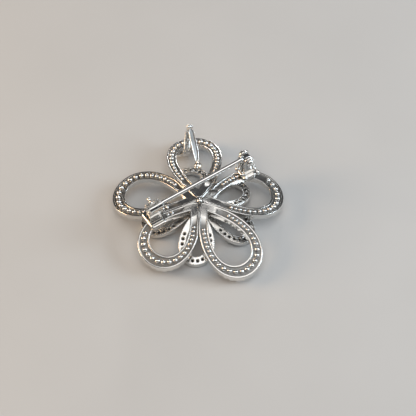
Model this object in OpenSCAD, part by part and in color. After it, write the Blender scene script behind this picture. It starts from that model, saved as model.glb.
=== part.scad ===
// Flower brooch with a folding pin on its back and a clip-on bail.
// It lies face down: z = 0 is the surface it rests on, and its back looks up.
// The origin is under the middle of the flower; +Y runs to the petal that carries the bail.

/* [Flower] */
// Height of the flower's back face at its middle, above the resting plane
hub_z = 7.7; // [7.5:0.1:8.4]
// Radius of the bare middle between the outer petals
hub_gap = 0.8; // [0.6:0.05:1]
// Width of the seam between neighbouring petals
seam = 0.12; // [0.08:0.01:0.2]

/* [Outer petals] */
// Length of an outer petal from the middle of the flower to its tip
petal_len = 21.5; // [20.5:0.1:22.5]
// Width of an outer petal
petal_w = 17.1; // [16:0.1:18]
// How far an outer petal falls from the middle to its tip
petal_drop = 4.7; // [4.2:0.1:4.9]
// Thickness of an outer petal's ribbon
petal_t = 1.7; // [1.5:0.05:1.8]
// Width of the ribbon at the petal's tip
band_tip = 3.1; // [2.9:0.05:3.3]
// Width of the ribbon at the petal's sides
band_side = 2.5; // [2.4:0.05:2.7]
// Where the petal's opening starts, from the middle of the flower
hole_start = 3.5; // [3.2:0.1:4]
// Width of the two raised rims beside the channel
rim_w = 0.42; // [0.35:0.01:0.48]
// Depth of the channel in the back, which holds the beads
back_channel = 0.35; // [0.25:0.01:0.45]
// Depth of the channel in the front, which holds the stones
front_channel = 0.6; // [0.5:0.01:0.7]

/* [Beads and stones] */
// Diameter of the beads at an outer petal's tip
bead_tip_d = 1.3; // [1.1:0.01:1.4]
// Diameter of the beads nearest the middle
bead_hub_d = 0.88; // [0.75:0.01:1]
// Space between neighbouring beads
bead_gap = 0.16; // [0.05:0.01:0.3]
// Space between neighbouring stones
stone_gap = 0.09; // [0.05:0.01:0.25]
// Diameter of the stones on the inner petals
inner_stone_d = 1.15; // [0.9:0.05:1.2]
// Diameter of the stone in the middle of the face
centre_stone_d = 4.6; // [4:0.1:5]

/* [Inner petals] */
// Length of an inner petal
inner_len = 14.7; // [14:0.1:15.2]
// Width of an inner petal
inner_w = 10.6; // [10:0.1:11]
// Thickness of an inner petal's ribbon
inner_t = 1.35; // [1.2:0.05:1.4]
// Width of an inner petal's ribbon
inner_band = 2; // [1.9:0.05:2.1]
// Depth of the channel that holds the inner stones
inner_channel = 0.5; // [0.4:0.01:0.6]
// Diameter of the azure holes behind the inner stones
azure_d = 0.6; // [0.5:0.05:0.7]

/* [Pin and catch] */
// Direction of the pin across the back, in degrees
pin_turn = 33.4; // [32:0.1:35]
// How far the pin lies from the middle of the flower
pin_off = 2.15; // [2:0.05:2.4]
// Height of the pin above the middle of the back
pin_rise = 4; // [3.6:0.1:4.4]
// Diameter of the pin
pin_d = 1.05; // [0.9:0.05:1.1]
// Distance from the middle to the hinge, along the pin
hinge_x = 15.2; // [14.8:0.1:15.6]
// Distance from the middle to the catch's near end, along the pin
catch_x = 9.6; // [9.2:0.1:10]
// Length of the catch's barrel
catch_l = 3.8; // [3.5:0.1:4.2]
// Outer diameter of the catch's barrel
catch_d = 3; // [2.9:0.05:3.2]
// Diameter of the hinge's rivet
rivet_d = 0.8; // [0.7:0.05:0.9]

/* [Bail] */
// Width of the bail's leaf at its foot
bail_w = 2.3; // [2:0.1:2.5]
// Height of the bail above the middle of the ribbon that it hangs on
bail_h = 6.1; // [5.8:0.1:6.4]
// Thickness of the bail's leaf and arm
bail_t = 0.5; // [0.4:0.05:0.55]
// Diameter of the ball at the end of the bail's arm
bail_ball_d = 2.2; // [1.8:0.1:2.2]

/* [Hidden] */

silver = [0.82, 0.81, 0.78];
dark_silver = [0.55, 0.54, 0.51];
clear_stone = [0.9, 0.94, 0.95];

petals = 5;
// Each petal was bent and soldered by hand, so its direction and length differ a little.
turn_trim = [5.2, 3, -2, -2, -2];
len_trim = [1.3, 0.6, -1.7, 0.5, -0.2];
outer_pow = 0.77;   // how round the petal's outer edge is: 0 is an oval, more is a drop
hole_pow = 1.15;    // the same, for the opening
drop_pow = 1.6;     // how the fall of the petal grows towards its tip
play = 0.03;        // gap left for solder under a seated piece
stone_sink = 0.1;   // how far a stone's face lies inside its channel
petal_rings = 48;
inner_rings = 40;

sector = 360 / petals;
function outer_turn(i) = 90 + sector * i + turn_trim[(i + petals) % petals];
function outer_len(i) = petal_len + len_trim[i];
// Directions of the inner petals, which were set by eye between and under the outer ones.
inner_turns = [102.5, 194, 265.5, 334, 396];
function inner_turn(i) = inner_turns[(i + petals) % petals] + 360 * floor(i / petals);

// ---- outlines ----
// A drop-shaped outline: s runs from the hub to the tip, t across; a is 0 at the hub and 180 at the tip.
function drop_outline(a, start, end, w, power) =
    [start + (end - start) * (1 - cos(a)) / 2, w / 2 * sin(a) * pow(abs(sin(a / 2)), power)];

function half_sector(i, left) =
    left ? (outer_turn(i + 1) - outer_turn(i)) / 2 : (outer_turn(i) - outer_turn(i - 1)) / 2;
function inner_half(i, left) =
    left ? (inner_turn(i + 1) - inner_turn(i)) / 2 : (inner_turn(i) - inner_turn(i - 1)) / 2;
// Keeps a point of an outline inside a sector of half angle h, half a seam from its side.
function in_sector(p, h) = [p[0], sign(p[1]) * min(abs(p[1]), max(0, p[0] * tan(h) - seam / 2 / cos(h)))];

// Outer edge of an outer petal, kept on its own side of the seams to its neighbours.
function outer_edge(i, a) =
    let (p = drop_outline(a, hub_gap, outer_len(i), petal_w, outer_pow))
    in_sector(p, half_sector(i, p[1] >= 0));
function hole_edge(i, a) =
    drop_outline(a, hole_start, outer_len(i) - band_tip, petal_w - 2 * band_side, hole_pow);

function back_z(s) = hub_z - petal_drop * pow(max(s, 0) / petal_len, drop_pow);
function back_slope(s) = -petal_drop * drop_pow / petal_len * pow(max(s, 0.01) / petal_len, drop_pow - 1);

// The inner petals start under the outer ones and stand on their tips.
flange_t = 0.6;
flange_room = 0.25; // gap between the flange that carries the inner petals and the outer ones
inner_rim = 0.3;
inner_pow = 0.7;
inner_hole_pow = 1;
inner_drop_pow = 1.3;
inner_hub_z = hub_z - petal_t - flange_t - flange_room;
inner_drop = inner_hub_z - inner_t;
inner_hole_start = 3.2;
inner_start = hub_gap + 0.1;
function inner_edge(i, a) =
    let (p = drop_outline(a, inner_start, inner_len, inner_w, inner_pow))
    in_sector(p, inner_half(i, p[1] >= 0));
function inner_hole(a) =
    drop_outline(a, inner_hole_start, inner_len - inner_band, inner_w - 2 * inner_band, inner_hole_pow);
function inner_back_z(s) = inner_hub_z - inner_drop * pow(max(s, 0) / inner_len, inner_drop_pow);
function inner_slope(s) =
    -inner_drop * inner_drop_pow / inner_len * pow(max(s, 0.01) / inner_len, inner_drop_pow - 1);

function ease(x) = let (c = min(1, max(0, x))) c * c * (3 - 2 * c);

// ---- ribbon: a section carried round an outline ----
channel_slope = 0.06;   // how far a channel's wall leans in
// Where the channels start and how long they take to reach their full depth
carve_from = 3;
carve_run = 2.5;
inner_carve_from = 4;
inner_carve_run = 2;
// One section from the hole's edge p to the outer edge q, each [s, t, z]; the walls are vertical.
function section(p, q, thick, rim, back, front) =
    let (w = norm(q - p), r = rim / w, c = channel_slope / w)
    [for (u = [[0, 0], [r, 0], [r + c, -back], [1 - r - c, -back], [1 - r, 0], [1, 0],
               [1, -thick], [1 - r, -thick], [1 - r - c, front - thick], [r + c, front - thick],
               [r, -thick], [0, -thick]])
        p + (q - p) * u[0] + [0, 0, u[1]]];

module ribbon(rings) {
    n = len(rings);
    m = len(rings[0]);
    faces = [for (k = [0:n - 1], j = [0:m - 1])
        let (k2 = (k + 1) % n, j2 = (j + 1) % m)
        each [[k * m + j, k2 * m + j2, k2 * m + j], [k * m + j, k * m + j2, k2 * m + j2]]];
    polyhedron([for (r = rings) each r], faces);
}

function outer_ring(i, a) =
    let (q = outer_edge(i, a), p = hole_edge(i, a), carve = ease((q[0] - carve_from) / carve_run))
    section([p[0], p[1], back_z(p[0])], [q[0], q[1], back_z(q[0])], petal_t, rim_w,
        back_channel * carve, front_channel * carve);

module outer_petal(i) {
    color(silver)
        rotate(outer_turn(i)) ribbon([for (k = [0:petal_rings - 1]) outer_ring(i, 360 * k / petal_rings)]);
}

function inner_ring(i, a) =
    let (q = inner_edge(i, a), p = inner_hole(a), carve = ease((q[0] - inner_carve_from) / inner_carve_run))
    section([p[0], p[1], inner_back_z(p[0])], [q[0], q[1], inner_back_z(q[0])], inner_t, inner_rim, 0,
        inner_channel * carve);

module inner_petal(i) {
    color(silver) rotate(inner_turn(i)) difference() {
        ribbon([for (k = [0:inner_rings - 1]) inner_ring(i, 360 * k / inner_rings)]);
        for (a = inner_stone_angles(i)) on_inner(i, a) translate([0, 0, -inner_t])
            cylinder(h = 2 * inner_t, d = azure_d, $fn = 16);
    }
}

// ---- rows of beads and stones along a ribbon's middle ----
function outer_mid(i, a) = (outer_edge(i, a) + hole_edge(i, a)) / 2;
function inner_mid(i, a) = (inner_edge(i, a) + inner_hole(a)) / 2;

// Angles at which as many pieces as fit sit side by side: points are the middle line that they follow,
// rooms what a piece takes of it there.
function spread(angles, points, rooms) =
    let (n = len(angles),
         steps = [for (k = [0:n - 2]) norm(points[k + 1] - points[k]) * 2 / (rooms[k] + rooms[k + 1])],
         sums = [for (k = 0, total = 0; k < n; total = total + (k < n - 1 ? steps[k] : 0), k = k + 1) total],
         table = [for (k = [0:n - 1]) [sums[k], angles[k]]],
         count = floor(sums[n - 1]))
    [for (j = [0:count - 1]) lookup(sums[n - 1] * (j + 0.5) / count, table)];

row_start = 60;   // angle on the outline where the rows begin
function row_angles(start) = [for (a = [start:2:360 - start]) a];
function bead_d(a) =
    bead_hub_d + (bead_tip_d - bead_hub_d) * ease((cos(row_start) - cos(a)) / (cos(row_start) + 1));
function outer_row(i, gap) =
    let (angles = row_angles(row_start))
    spread(angles, [for (a = angles) outer_mid(i, a)], [for (a = angles) bead_d(a) + gap]);

inner_row_start = 78;
function inner_stone_angles(i) =
    let (angles = row_angles(inner_row_start))
    spread(angles, [for (a = angles) inner_mid(i, a)], [for (a = angles) inner_stone_d + stone_gap]);

// Puts its children on an outer petal's channel floor, front or back, square to the ribbon.
module on_outer(i, a, front = false) {
    p = outer_mid(i, a);
    z = back_z(p[0]) - (front ? petal_t - front_channel : back_channel);
    rotate(outer_turn(i)) translate([p[0], p[1], z]) rotate([0, -atan(back_slope(p[0])), 0])
        mirror([0, 0, front ? 1 : 0]) translate([0, 0, play]) children();
}
module on_inner(i, a) {
    p = inner_mid(i, a);
    translate([p[0], p[1], inner_back_z(p[0]) - inner_t + inner_channel])
        rotate([0, -atan(inner_slope(p[0])), 0]) mirror([0, 0, 1]) translate([0, 0, play]) children();
}

// A round bead let into its seat; its centre lies above the channel's floor by this share of its diameter.
bead_lift = 0.18;
module bead(d) {
    difference() {
        translate([0, 0, d * bead_lift]) sphere(d = d, $fn = 24);
        translate([-d, -d, -2 * d]) cube(2 * d);
    }
}
// A brilliant-cut stone, culet down, standing on z = 0.
culet_r = 0.16;     // radii as shares of the diameter, heights as shares of the depth
table_r = 0.29;
girdle_z = [0.62, 0.7];
module stone(d, deep) {
    rotate_extrude($fn = 24)
        polygon([[0, 0], [d * culet_r, 0], [d / 2, deep * girdle_z[0]], [d / 2, deep * girdle_z[1]],
            [d * table_r, deep], [0, deep]]);
}

// The footprints of the hinge and the catch, in the pin's own frame, keep the beads out.
function in_pin_frame(x, y) =
    [x * cos(pin_turn) + y * sin(pin_turn), -x * sin(pin_turn) + y * cos(pin_turn) - pin_off];
function covered(q, r) =
    (q[0] > hinge_x - hinge_foot / 2 - r && q[0] < hinge_x + hinge_foot / 2 + r
        && q[1] > -hinge_out - r && q[1] < ear_out + r)
    || (q[0] < -catch_x + r && q[0] > -catch_x - catch_l - catch_lip - r && abs(q[1]) < catch_pad / 2 + r);
function world(i, p) =
    let (a = outer_turn(i)) [p[0] * cos(a) - p[1] * sin(a), p[0] * sin(a) + p[1] * cos(a)];

module beads(i) {
    color(silver) for (a = outer_row(i, bead_gap)) {
        w = world(i, outer_mid(i, a));
        if (!covered(in_pin_frame(w[0], w[1]), bead_d(a) / 2 + 0.1)) on_outer(i, a) bead(bead_d(a));
    }
}
module outer_stones(i) {
    color(clear_stone) for (a = outer_row(i, stone_gap))
        on_outer(i, a, true) stone(bead_d(a), front_channel - stone_sink);
}
module inner_stones(i) {
    color(clear_stone) rotate(inner_turn(i)) for (a = inner_stone_angles(i))
        on_inner(i, a) stone(inner_stone_d, inner_channel - stone_sink);
}

// ---- middle of the flower ----
post_d = 1.2;
post_in = 0.1;      // how far the post's end lies under the back
flange_r = 2.4;
module cylinder_between(z0, z1, r) {
    translate([0, 0, z0]) cylinder(h = z1 - z0, r = r, $fn = 48);
}
basket_r = centre_stone_d / 2 + 0.3;
claw_r = 0.28;
basket_room = 0.08; // gap between the basket and the inner petals above it
basket_z = inner_back_z(basket_r + claw_r) - inner_t - basket_room;
module hub_post() {
    color(silver) {
        cylinder_between(basket_z + play, hub_z - post_in, post_d / 2);
        cylinder_between(inner_hub_z + play, inner_hub_z + play + flange_t, flange_r);
    }
}
basket_floor = 0.6;
basket_wall = 0.7;  // height of the wall round the stone's back
basket_bore_r = 0.5;
basket_ledge = 0.45;
claw_top = 0.15;    // how far the claws end under the basket's back
claw_lift = 0.1;
stone_z = 0.3;
stone_room = 0.05;
centre_stone_h = basket_z - basket_floor - stone_z - stone_room;
module centre_basket() {
    floor_z = basket_z - basket_floor;
    color(silver) {
        difference() {
            cylinder_between(floor_z - basket_wall, basket_z, basket_r);
            cylinder_between(floor_z - 2 * basket_wall, floor_z, centre_stone_d / 2 - basket_ledge);
            cylinder_between(floor_z - 2 * basket_wall, basket_z + 1, basket_bore_r);
        }
        for (a = [30:60:330]) rotate(a) translate([basket_r, 0, 0])
            cylinder_between(stone_z + claw_lift, basket_z - claw_top, claw_r);
    }
}
stone_play = 0.02;
centre_girdle = [1.3, 0.75, 0.6];   // depths of the pavilion's shoulder and of the girdle's two edges
shoulder_in = 0.5;
centre_table_r = 0.3;   // as a share of the diameter
module centre_stone() {
    r = centre_stone_d / 2 - stone_play;
    color(clear_stone) translate([0, 0, basket_z - basket_floor - stone_room]) mirror([0, 0, 1])
        rotate_extrude($fn = 48)
            polygon([[0, 0], [0.2, 0], [r + stone_play - shoulder_in, centre_stone_h - centre_girdle[0]],
                [r, centre_stone_h - centre_girdle[1]], [r, centre_stone_h - centre_girdle[2]],
                [centre_stone_d * centre_table_r, centre_stone_h], [0, centre_stone_h]]);
}

// ---- pin, hinge and catch, in a frame whose X runs along the pin from catch to hinge ----
pin_z = hub_z + pin_rise;
ear_t = 0.85;
ear_r = 1.55;
ear_gap = 1.5;      // room between the ears for the pin's knuckle
ear_out = ear_gap / 2 + ear_t;
hinge_foot = 4.4;
hinge_out = 2.7;    // how far the foot reaches back over the petal
knuckle_d = 2.5;
knuckle_drop = 0.6; // how far the hinge's line lies under the pin's
pivot_z = pin_z - knuckle_drop;
pin_fit = 0.04;     // running clearance round the rivet
head_r = 1.1;       // radius of the rivet's domed heads
head_h = 0.8;
head_gap = 0.01;    // gap between a head and its ear, and round the rivet in the ears
module pin_frame() {
    rotate(pin_turn) translate([0, pin_off, 0]) children();
}
// Height of the flower's back under a point of the pin's frame: the petal that reaches furthest
// along its own line to that point is the one that lies there.
function under(x, y) =
    let (v = y + pin_off,
         w = [x * cos(pin_turn) - v * sin(pin_turn), x * sin(pin_turn) + v * cos(pin_turn)])
    back_z(max([for (i = [0:petals - 1]) w * [cos(outer_turn(i)), sin(outer_turn(i))]]));

// A foot with a flat top, whose underside follows the petals that it is soldered to.
foot_steps = [4, 6];
foot_gap = 0.07;
foot_t = 0.7;
root = 0.1;         // how far a wall runs into the foot that it stands on
function foot_points(x0, x1, y0, y1) = [for (i = [0:foot_steps[0]], j = [0:foot_steps[1]])
    [x0 + (x1 - x0) * i / foot_steps[0], y0 + (y1 - y0) * j / foot_steps[1]]];
function foot_top(points) = max([for (p = points) under(p[0], p[1])]) + foot_gap + foot_t;
module foot(points) {
    m = foot_steps[1] + 1;
    n = len(points);
    top = foot_top(points);
    grid = [for (i = [0:foot_steps[0] - 1], j = [0:foot_steps[1] - 1])
        let (k = i * m + j) [k, k + m, k + m + 1, k + 1]];
    rim = concat([for (j = [0:m - 1]) j], [for (i = [1:foot_steps[0]]) i * m + m - 1],
        [for (j = [m - 2:-1:0]) foot_steps[0] * m + j], [for (i = [foot_steps[0] - 1:-1:1]) i * m]);
    polyhedron(
        concat([for (p = points) [p[0], p[1], under(p[0], p[1]) + foot_gap]],
            [for (p = points) [p[0], p[1], top]]),
        concat([for (g = grid) each [[g[0], g[1], g[2]], [g[0], g[2], g[3]]]],
            [for (g = grid) each [[n + g[0], n + g[2], n + g[1]], [n + g[0], n + g[3], n + g[2]]]],
            [for (k = [0:len(rim) - 1]) let (u = rim[k], v = rim[(k + 1) % len(rim)])
                each [[u, v, n + v], [u, n + v, n + u]]]));
}
module across(y0, y1, d) {
    translate([hinge_x, y1, pivot_z]) rotate([90, 0, 0]) cylinder(h = y1 - y0, d = d, $fn = 48);
}
hinge_foot_points = foot_points(hinge_x - hinge_foot / 2, hinge_x + hinge_foot / 2, -hinge_out, ear_out);
module hinge_bracket() {
    foot_z = foot_top(hinge_foot_points);
    color(silver) pin_frame() difference() {
        union() {
            foot(hinge_foot_points);
            for (side = [-1, 1]) translate([hinge_x, side * (ear_gap + ear_t) / 2, 0]) {
                translate([-ear_r, -ear_t / 2, foot_z - root])
                    cube([2 * ear_r, ear_t, pivot_z - foot_z + root]);
                translate([0, ear_t / 2, pivot_z]) rotate([90, 0, 0])
                    cylinder(h = ear_t, r = ear_r, $fn = 48);
            }
        }
        across(-2 * ear_out, 2 * ear_out, rivet_d + head_gap);
    }
}
module hinge_rivet() {
    color(silver) pin_frame() {
        across(-ear_out - head_h / 2, ear_out + head_h / 2, rivet_d);
        for (side = [-1, 1]) difference() {
            translate([hinge_x, side * (ear_out + head_h - head_r), pivot_z]) sphere(r = head_r, $fn = 48);
            translate([hinge_x, side * (ear_out + head_gap - 2 * head_r), pivot_z])
                cube(4 * head_r, center = true);
        }
    }
}
catch_lip = 0.5;
tip_out = 0.7;      // how far the point shows past the catch
mouth_gap = 0.3;    // bare wire left in front of the catch before the point's taper
tip_x = -catch_x - catch_l - tip_out;
taper_l = catch_l + tip_out + mouth_gap;
tip_d = 0.12;
neck_d = pin_d + 0.35;  // the wire is thicker where it meets the knuckle
neck_room = 0.25;   // how far the neck starts before the ears
neck_in = 0.5;      // how far the neck runs into the knuckle
knuckle_play = 0.08;
neck_x = hinge_x - ear_r - neck_room;
module pin_stem() {
    neck_end = hinge_x - knuckle_d / 2 + neck_in;
    color(silver) pin_frame() difference() {
        union() {
            translate([tip_x + taper_l, 0, pin_z]) rotate([0, 90, 0])
                cylinder(h = neck_x - tip_x - taper_l, d = pin_d, $fn = 48);
            translate([neck_x, 0, pin_z]) rotate([0, 90, 0])
                cylinder(h = neck_end - neck_x, d = neck_d, $fn = 48);
            translate([tip_x, 0, pin_z]) rotate([0, 90, 0])
                cylinder(h = taper_l, d1 = tip_d, d2 = pin_d, $fn = 48);
            across(-ear_gap / 2 + knuckle_play, ear_gap / 2 - knuckle_play, knuckle_d);
        }
        across(-ear_gap, ear_gap, rivet_d + 2 * pin_fit);
    }
}

catch_pad = 5.6;
roller_gap = 0.06;
catch_wall = 0.45;
roller_wall = 0.32;
slot_play = 0.25;
slot_w = pin_d + slot_play;
saddle_w = 1.8;
saddle_in = 0.6;    // how far the saddle reaches up beside the barrel's round underside
catch_foot_points = foot_points(-catch_x - catch_l - catch_lip, -catch_x, -catch_pad / 2, catch_pad / 2);
module catch_base() {
    foot_z = foot_top(catch_foot_points);
    color(silver) pin_frame() {
        foot(catch_foot_points);
        translate([-catch_x - catch_l, -saddle_w / 2, foot_z - root])
            cube([catch_l, saddle_w, pin_z - catch_d / 2 - foot_z + root - play]);
    }
}
module along_catch() {
    translate([-catch_x - catch_l, 0, pin_z]) rotate([0, 90, 0]) children();
}
lever_w = 0.8;
window_play = 0.1;  // room on each side of the lever
window_drop = 0.7;  // how far the window reaches below the pin's line
module catch_body() {
    bore = catch_d - 2 * catch_wall;
    color(silver) pin_frame() difference() {
        union() {
            along_catch() cylinder(h = catch_l, d = catch_d, $fn = 48);
            translate([-catch_x - catch_l, -saddle_w / 2, pin_z - catch_d / 2])
                cube([catch_l, saddle_w, saddle_in]);
        }
        along_catch() translate([0, 0, -1]) cylinder(h = catch_l + 2, d = bore, $fn = 48);
        translate([-catch_x - catch_l - 1, -slot_w / 2, pin_z]) cube([catch_l + 2, slot_w, catch_d]);
        // window that the roller's lever sweeps through, from the slot round to the far side
        translate([-catch_x - catch_l / 2 - lever_w / 2 - window_play, 0, pin_z - window_drop])
            cube([lever_w + 2 * window_play, catch_d, catch_d]);
    }
}
lever_rise = 1.1;
lever_start = 95;   // where the lever stands at rest, from straight up
lever_ball_d = 1.15;
roller_in = 0.1;    // how far the roller ends inside the barrel
module catch_roller() {
    d = catch_d - 2 * catch_wall - 2 * roller_gap;
    color(dark_silver) pin_frame() {
        difference() {
            along_catch() translate([0, 0, roller_in])
                cylinder(h = catch_l - 2 * roller_in, d = d, $fn = 48);
            along_catch() translate([0, 0, -1]) cylinder(h = catch_l + 2, d = d - 2 * roller_wall, $fn = 48);
            translate([-catch_x - catch_l - 1, -slot_w / 2, pin_z]) cube([catch_l + 2, slot_w, catch_d]);
        }
        translate([-catch_x - catch_l / 2, 0, pin_z]) rotate([-lever_start, 0, 0]) {
            translate([0, 0, d / 2 - roller_wall / 2])
                cylinder(h = (catch_d - d + roller_wall) / 2 + lever_rise, d = lever_w, $fn = 24);
            translate([0, 0, catch_d / 2 + lever_rise]) sphere(d = lever_ball_d, $fn = 24);
        }
    }
}

// ---- bail: a leaf and an arm round the top petal's tip, in a frame whose X points outwards ----
bail_swing_out = 17.5;    // how far the bail faces away from the petal's own direction
bail_turn = outer_turn(0) + bail_swing_out;
bail_lean = 18;
bail_angle = 163;
bail_at = outer_mid(0, bail_angle);
band_mid_z = back_z(bail_at[0]) - petal_t / 2;
module bail_frame() {
    w = world(0, bail_at);
    translate([w[0], w[1], band_mid_z]) rotate(bail_turn) rotate([bail_lean, 0, 0]) children();
}
apex = [0.9, bail_h];
leaf_path = [[0.3, -1.9], [-0.8, -1.8], [-2.05, -1.5], [-2.9, -0.7], [-3.15, 0.5], [-2.8, 1.65], [-2, 2.5],
    [-1.15, 3.2], [-0.35, 4.15], apex + [-0.4, -0.75]];
arm_path = [apex + [-0.37, 0.1], [-1.1, 5.35], [-3.3, 4.3], [-5.2, 3.2], [-7.2, 1.9]];
// A strip of width w and thickness t along a path in the XZ plane.
module strip(path, w, t) {
    n = len(path);
    dirs = [for (k = [0:n - 1]) let (d = path[min(n - 1, k + 1)] - path[max(0, k - 1)]) d / norm(d)];
    sides = [for (k = [0:n - 1]) [-dirs[k][1], dirs[k][0]] * t / 2];
    rotate([90, 0, 0]) linear_extrude(height = w, center = true)
        polygon(concat([for (k = [0:n - 1]) path[k] + sides[k]],
            [for (k = [n - 1:-1:0]) path[k] - sides[k]]));
}
leaf_end = leaf_path[len(leaf_path) - 1] - apex;
leaf_end_turn = atan2(leaf_end[1], leaf_end[0]);
knuckle = 1.1;
module bail_knuckle(y0, y1, hole) {
    translate([apex[0], y1, apex[1]]) rotate([90, 0, 0]) difference() {
        cylinder(h = y1 - y0, d = knuckle, $fn = 32);
        translate([0, 0, -1]) cylinder(h = y1 - y0 + 2, d = hole, $fn = 32);
    }
}
leaf_top_w = 1.5;
knuckle_y = [0.4, 0.75];    // the leaf's knuckles, from the middle to each side
knuckle_gap = 0.05;
tongue_in = 0.3;            // the tongues join the leaf's knuckles to its end
tongue_l = 0.7;
arm_w = 1.6;
leaf_skew = 1.1;            // how far the leaf's foot lies to one side of its hinge
leaf_azure_d = 0.5;
leaf_seats = [6, 7, 8];     // the stretches of the leaf's path that carry a stone
// Puts its children on the middle of a stretch of the leaf, square to its outer face.
module on_leaf(k) {
    a = leaf_path[k];
    b = leaf_path[k + 1];
    m = (a + b) / 2;
    translate([m[0], leaf_skew * (1 - m[1] / apex[1]), m[1]]) rotate([0, atan2(b[1] - a[1], a[0] - b[0]), 0])
        children();
}
module bail_leaf() {
    color(silver) bail_frame() {
        difference() {
            intersection() {
                strip(leaf_path, bail_w + 2 * leaf_skew, bail_t);
                // seen from outside, the leaf narrows and turns towards its hinge
                rotate([90, 0, 90]) linear_extrude(height = 4 * bail_h, center = true)
                    polygon([[leaf_skew - bail_w / 2, -bail_h], [leaf_skew + bail_w / 2, -bail_h],
                        [leaf_skew + bail_w / 2, 0], [leaf_top_w / 2, apex[1]],
                        [-leaf_top_w / 2, apex[1]], [leaf_skew - bail_w / 2, 0]]);
            }
            for (k = leaf_seats) on_leaf(k) translate([0, 0, -bail_t])
                cylinder(h = 2 * bail_t, d = leaf_azure_d, $fn = 16);
        }
        for (y = [-knuckle_y[1], knuckle_y[0]]) {
            bail_knuckle(y, y + knuckle_y[1] - knuckle_y[0], bail_pin_d + 0.01);
            translate([apex[0], y, apex[1]]) rotate([0, -leaf_end_turn, 0])
                translate([tongue_in, 0, -bail_t / 2]) cube([tongue_l, knuckle_y[1] - knuckle_y[0], bail_t]);
        }
    }
}
bail_pin_d = 0.45;
module bail_pin() {
    reach = knuckle_y[1] + knuckle_gap;
    color(silver) bail_frame() translate([apex[0], reach, apex[1]]) rotate([90, 0, 0])
        cylinder(h = 2 * reach, d = bail_pin_d, $fn = 32);
}
arm_neck_in = 0.4;
arm_neck_out = 0.1;
arm_neck_d = 0.65;
arm_side_room = 0.1;    // how far the arm is cleared round the leaf's knuckles
module bail_arm() {
    n = len(arm_path);
    end = arm_path[n - 1] - arm_path[n - 2];
    color(silver) bail_frame() {
        difference() {
            strip(arm_path, arm_w, bail_t);
            for (side = [-1, 1])
                translate([apex[0], side * (knuckle_y[0] - knuckle_gap + arm_w / 2), apex[1]])
                    rotate([90, 0, 0])
                        cylinder(h = arm_w, d = knuckle + 2 * arm_side_room, center = true, $fn = 32);
        }
        bail_knuckle(knuckle_gap - knuckle_y[0], knuckle_y[0] - knuckle_gap, bail_pin_d + 2 * pin_fit);
        // the ball sits on a short neck that runs into the arm's end
        translate([arm_path[n - 1][0], 0, arm_path[n - 1][1]]) rotate([0, atan2(end[0], end[1]), 0]) {
            translate([0, 0, -arm_neck_in])
                cylinder(h = arm_neck_in + bail_ball_d / 2 + arm_neck_out, d = arm_neck_d, $fn = 32);
            translate([0, 0, bail_ball_d / 2 + arm_neck_out]) sphere(d = bail_ball_d, $fn = 48);
        }
    }
}
bail_stone_d = 1;
bail_stone_h = 0.45;
module bail_stones() {
    color(clear_stone) bail_frame() for (k = leaf_seats)
        on_leaf(k) translate([0, 0, bail_t / 2 + play]) stone(bail_stone_d, bail_stone_h);
}

for (i = [0:petals - 1]) {
    outer_petal(i);
    beads(i);
    outer_stones(i);
    inner_petal(i);
    inner_stones(i);
}
hub_post();
centre_basket();
centre_stone();
hinge_bracket();
hinge_rivet();
pin_stem();
catch_base();
catch_body();
catch_roller();
bail_leaf();
bail_stones();
bail_pin();
bail_arm();
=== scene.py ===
"""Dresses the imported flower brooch: polished silver petals, beads, stones, pin, catch and bail."""
import logging
import math
from dataclasses import dataclass
from enum import Enum
from typing import Callable, Sequence

import bpy
import numpy as np
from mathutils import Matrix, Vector


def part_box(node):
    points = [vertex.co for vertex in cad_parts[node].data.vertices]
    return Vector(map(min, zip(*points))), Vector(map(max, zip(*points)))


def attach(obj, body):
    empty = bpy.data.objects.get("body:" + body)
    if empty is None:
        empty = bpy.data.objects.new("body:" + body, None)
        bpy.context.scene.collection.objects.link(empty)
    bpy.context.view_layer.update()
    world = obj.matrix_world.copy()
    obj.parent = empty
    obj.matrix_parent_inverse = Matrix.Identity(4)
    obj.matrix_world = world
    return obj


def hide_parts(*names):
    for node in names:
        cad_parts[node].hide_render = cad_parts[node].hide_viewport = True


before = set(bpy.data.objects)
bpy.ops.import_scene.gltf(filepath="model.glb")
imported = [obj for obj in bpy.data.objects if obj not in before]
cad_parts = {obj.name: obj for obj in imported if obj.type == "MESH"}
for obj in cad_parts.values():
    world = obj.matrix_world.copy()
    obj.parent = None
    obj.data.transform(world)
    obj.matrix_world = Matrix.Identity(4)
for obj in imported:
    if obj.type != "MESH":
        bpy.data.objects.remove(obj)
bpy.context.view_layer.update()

LOG = logging.getLogger("brooch")
MM = 0.001
Array = np.ndarray


# ---------------------------------------------------------------- finishes

class Tone(Enum):
    """The colours of the metal, and the near-black shade painted into its hollows."""

    SILVER = (0.84, 0.825, 0.80)
    BRIGHT = (0.88, 0.875, 0.865)
    PAINTED_SHADE = (0.055, 0.050, 0.045)


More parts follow.
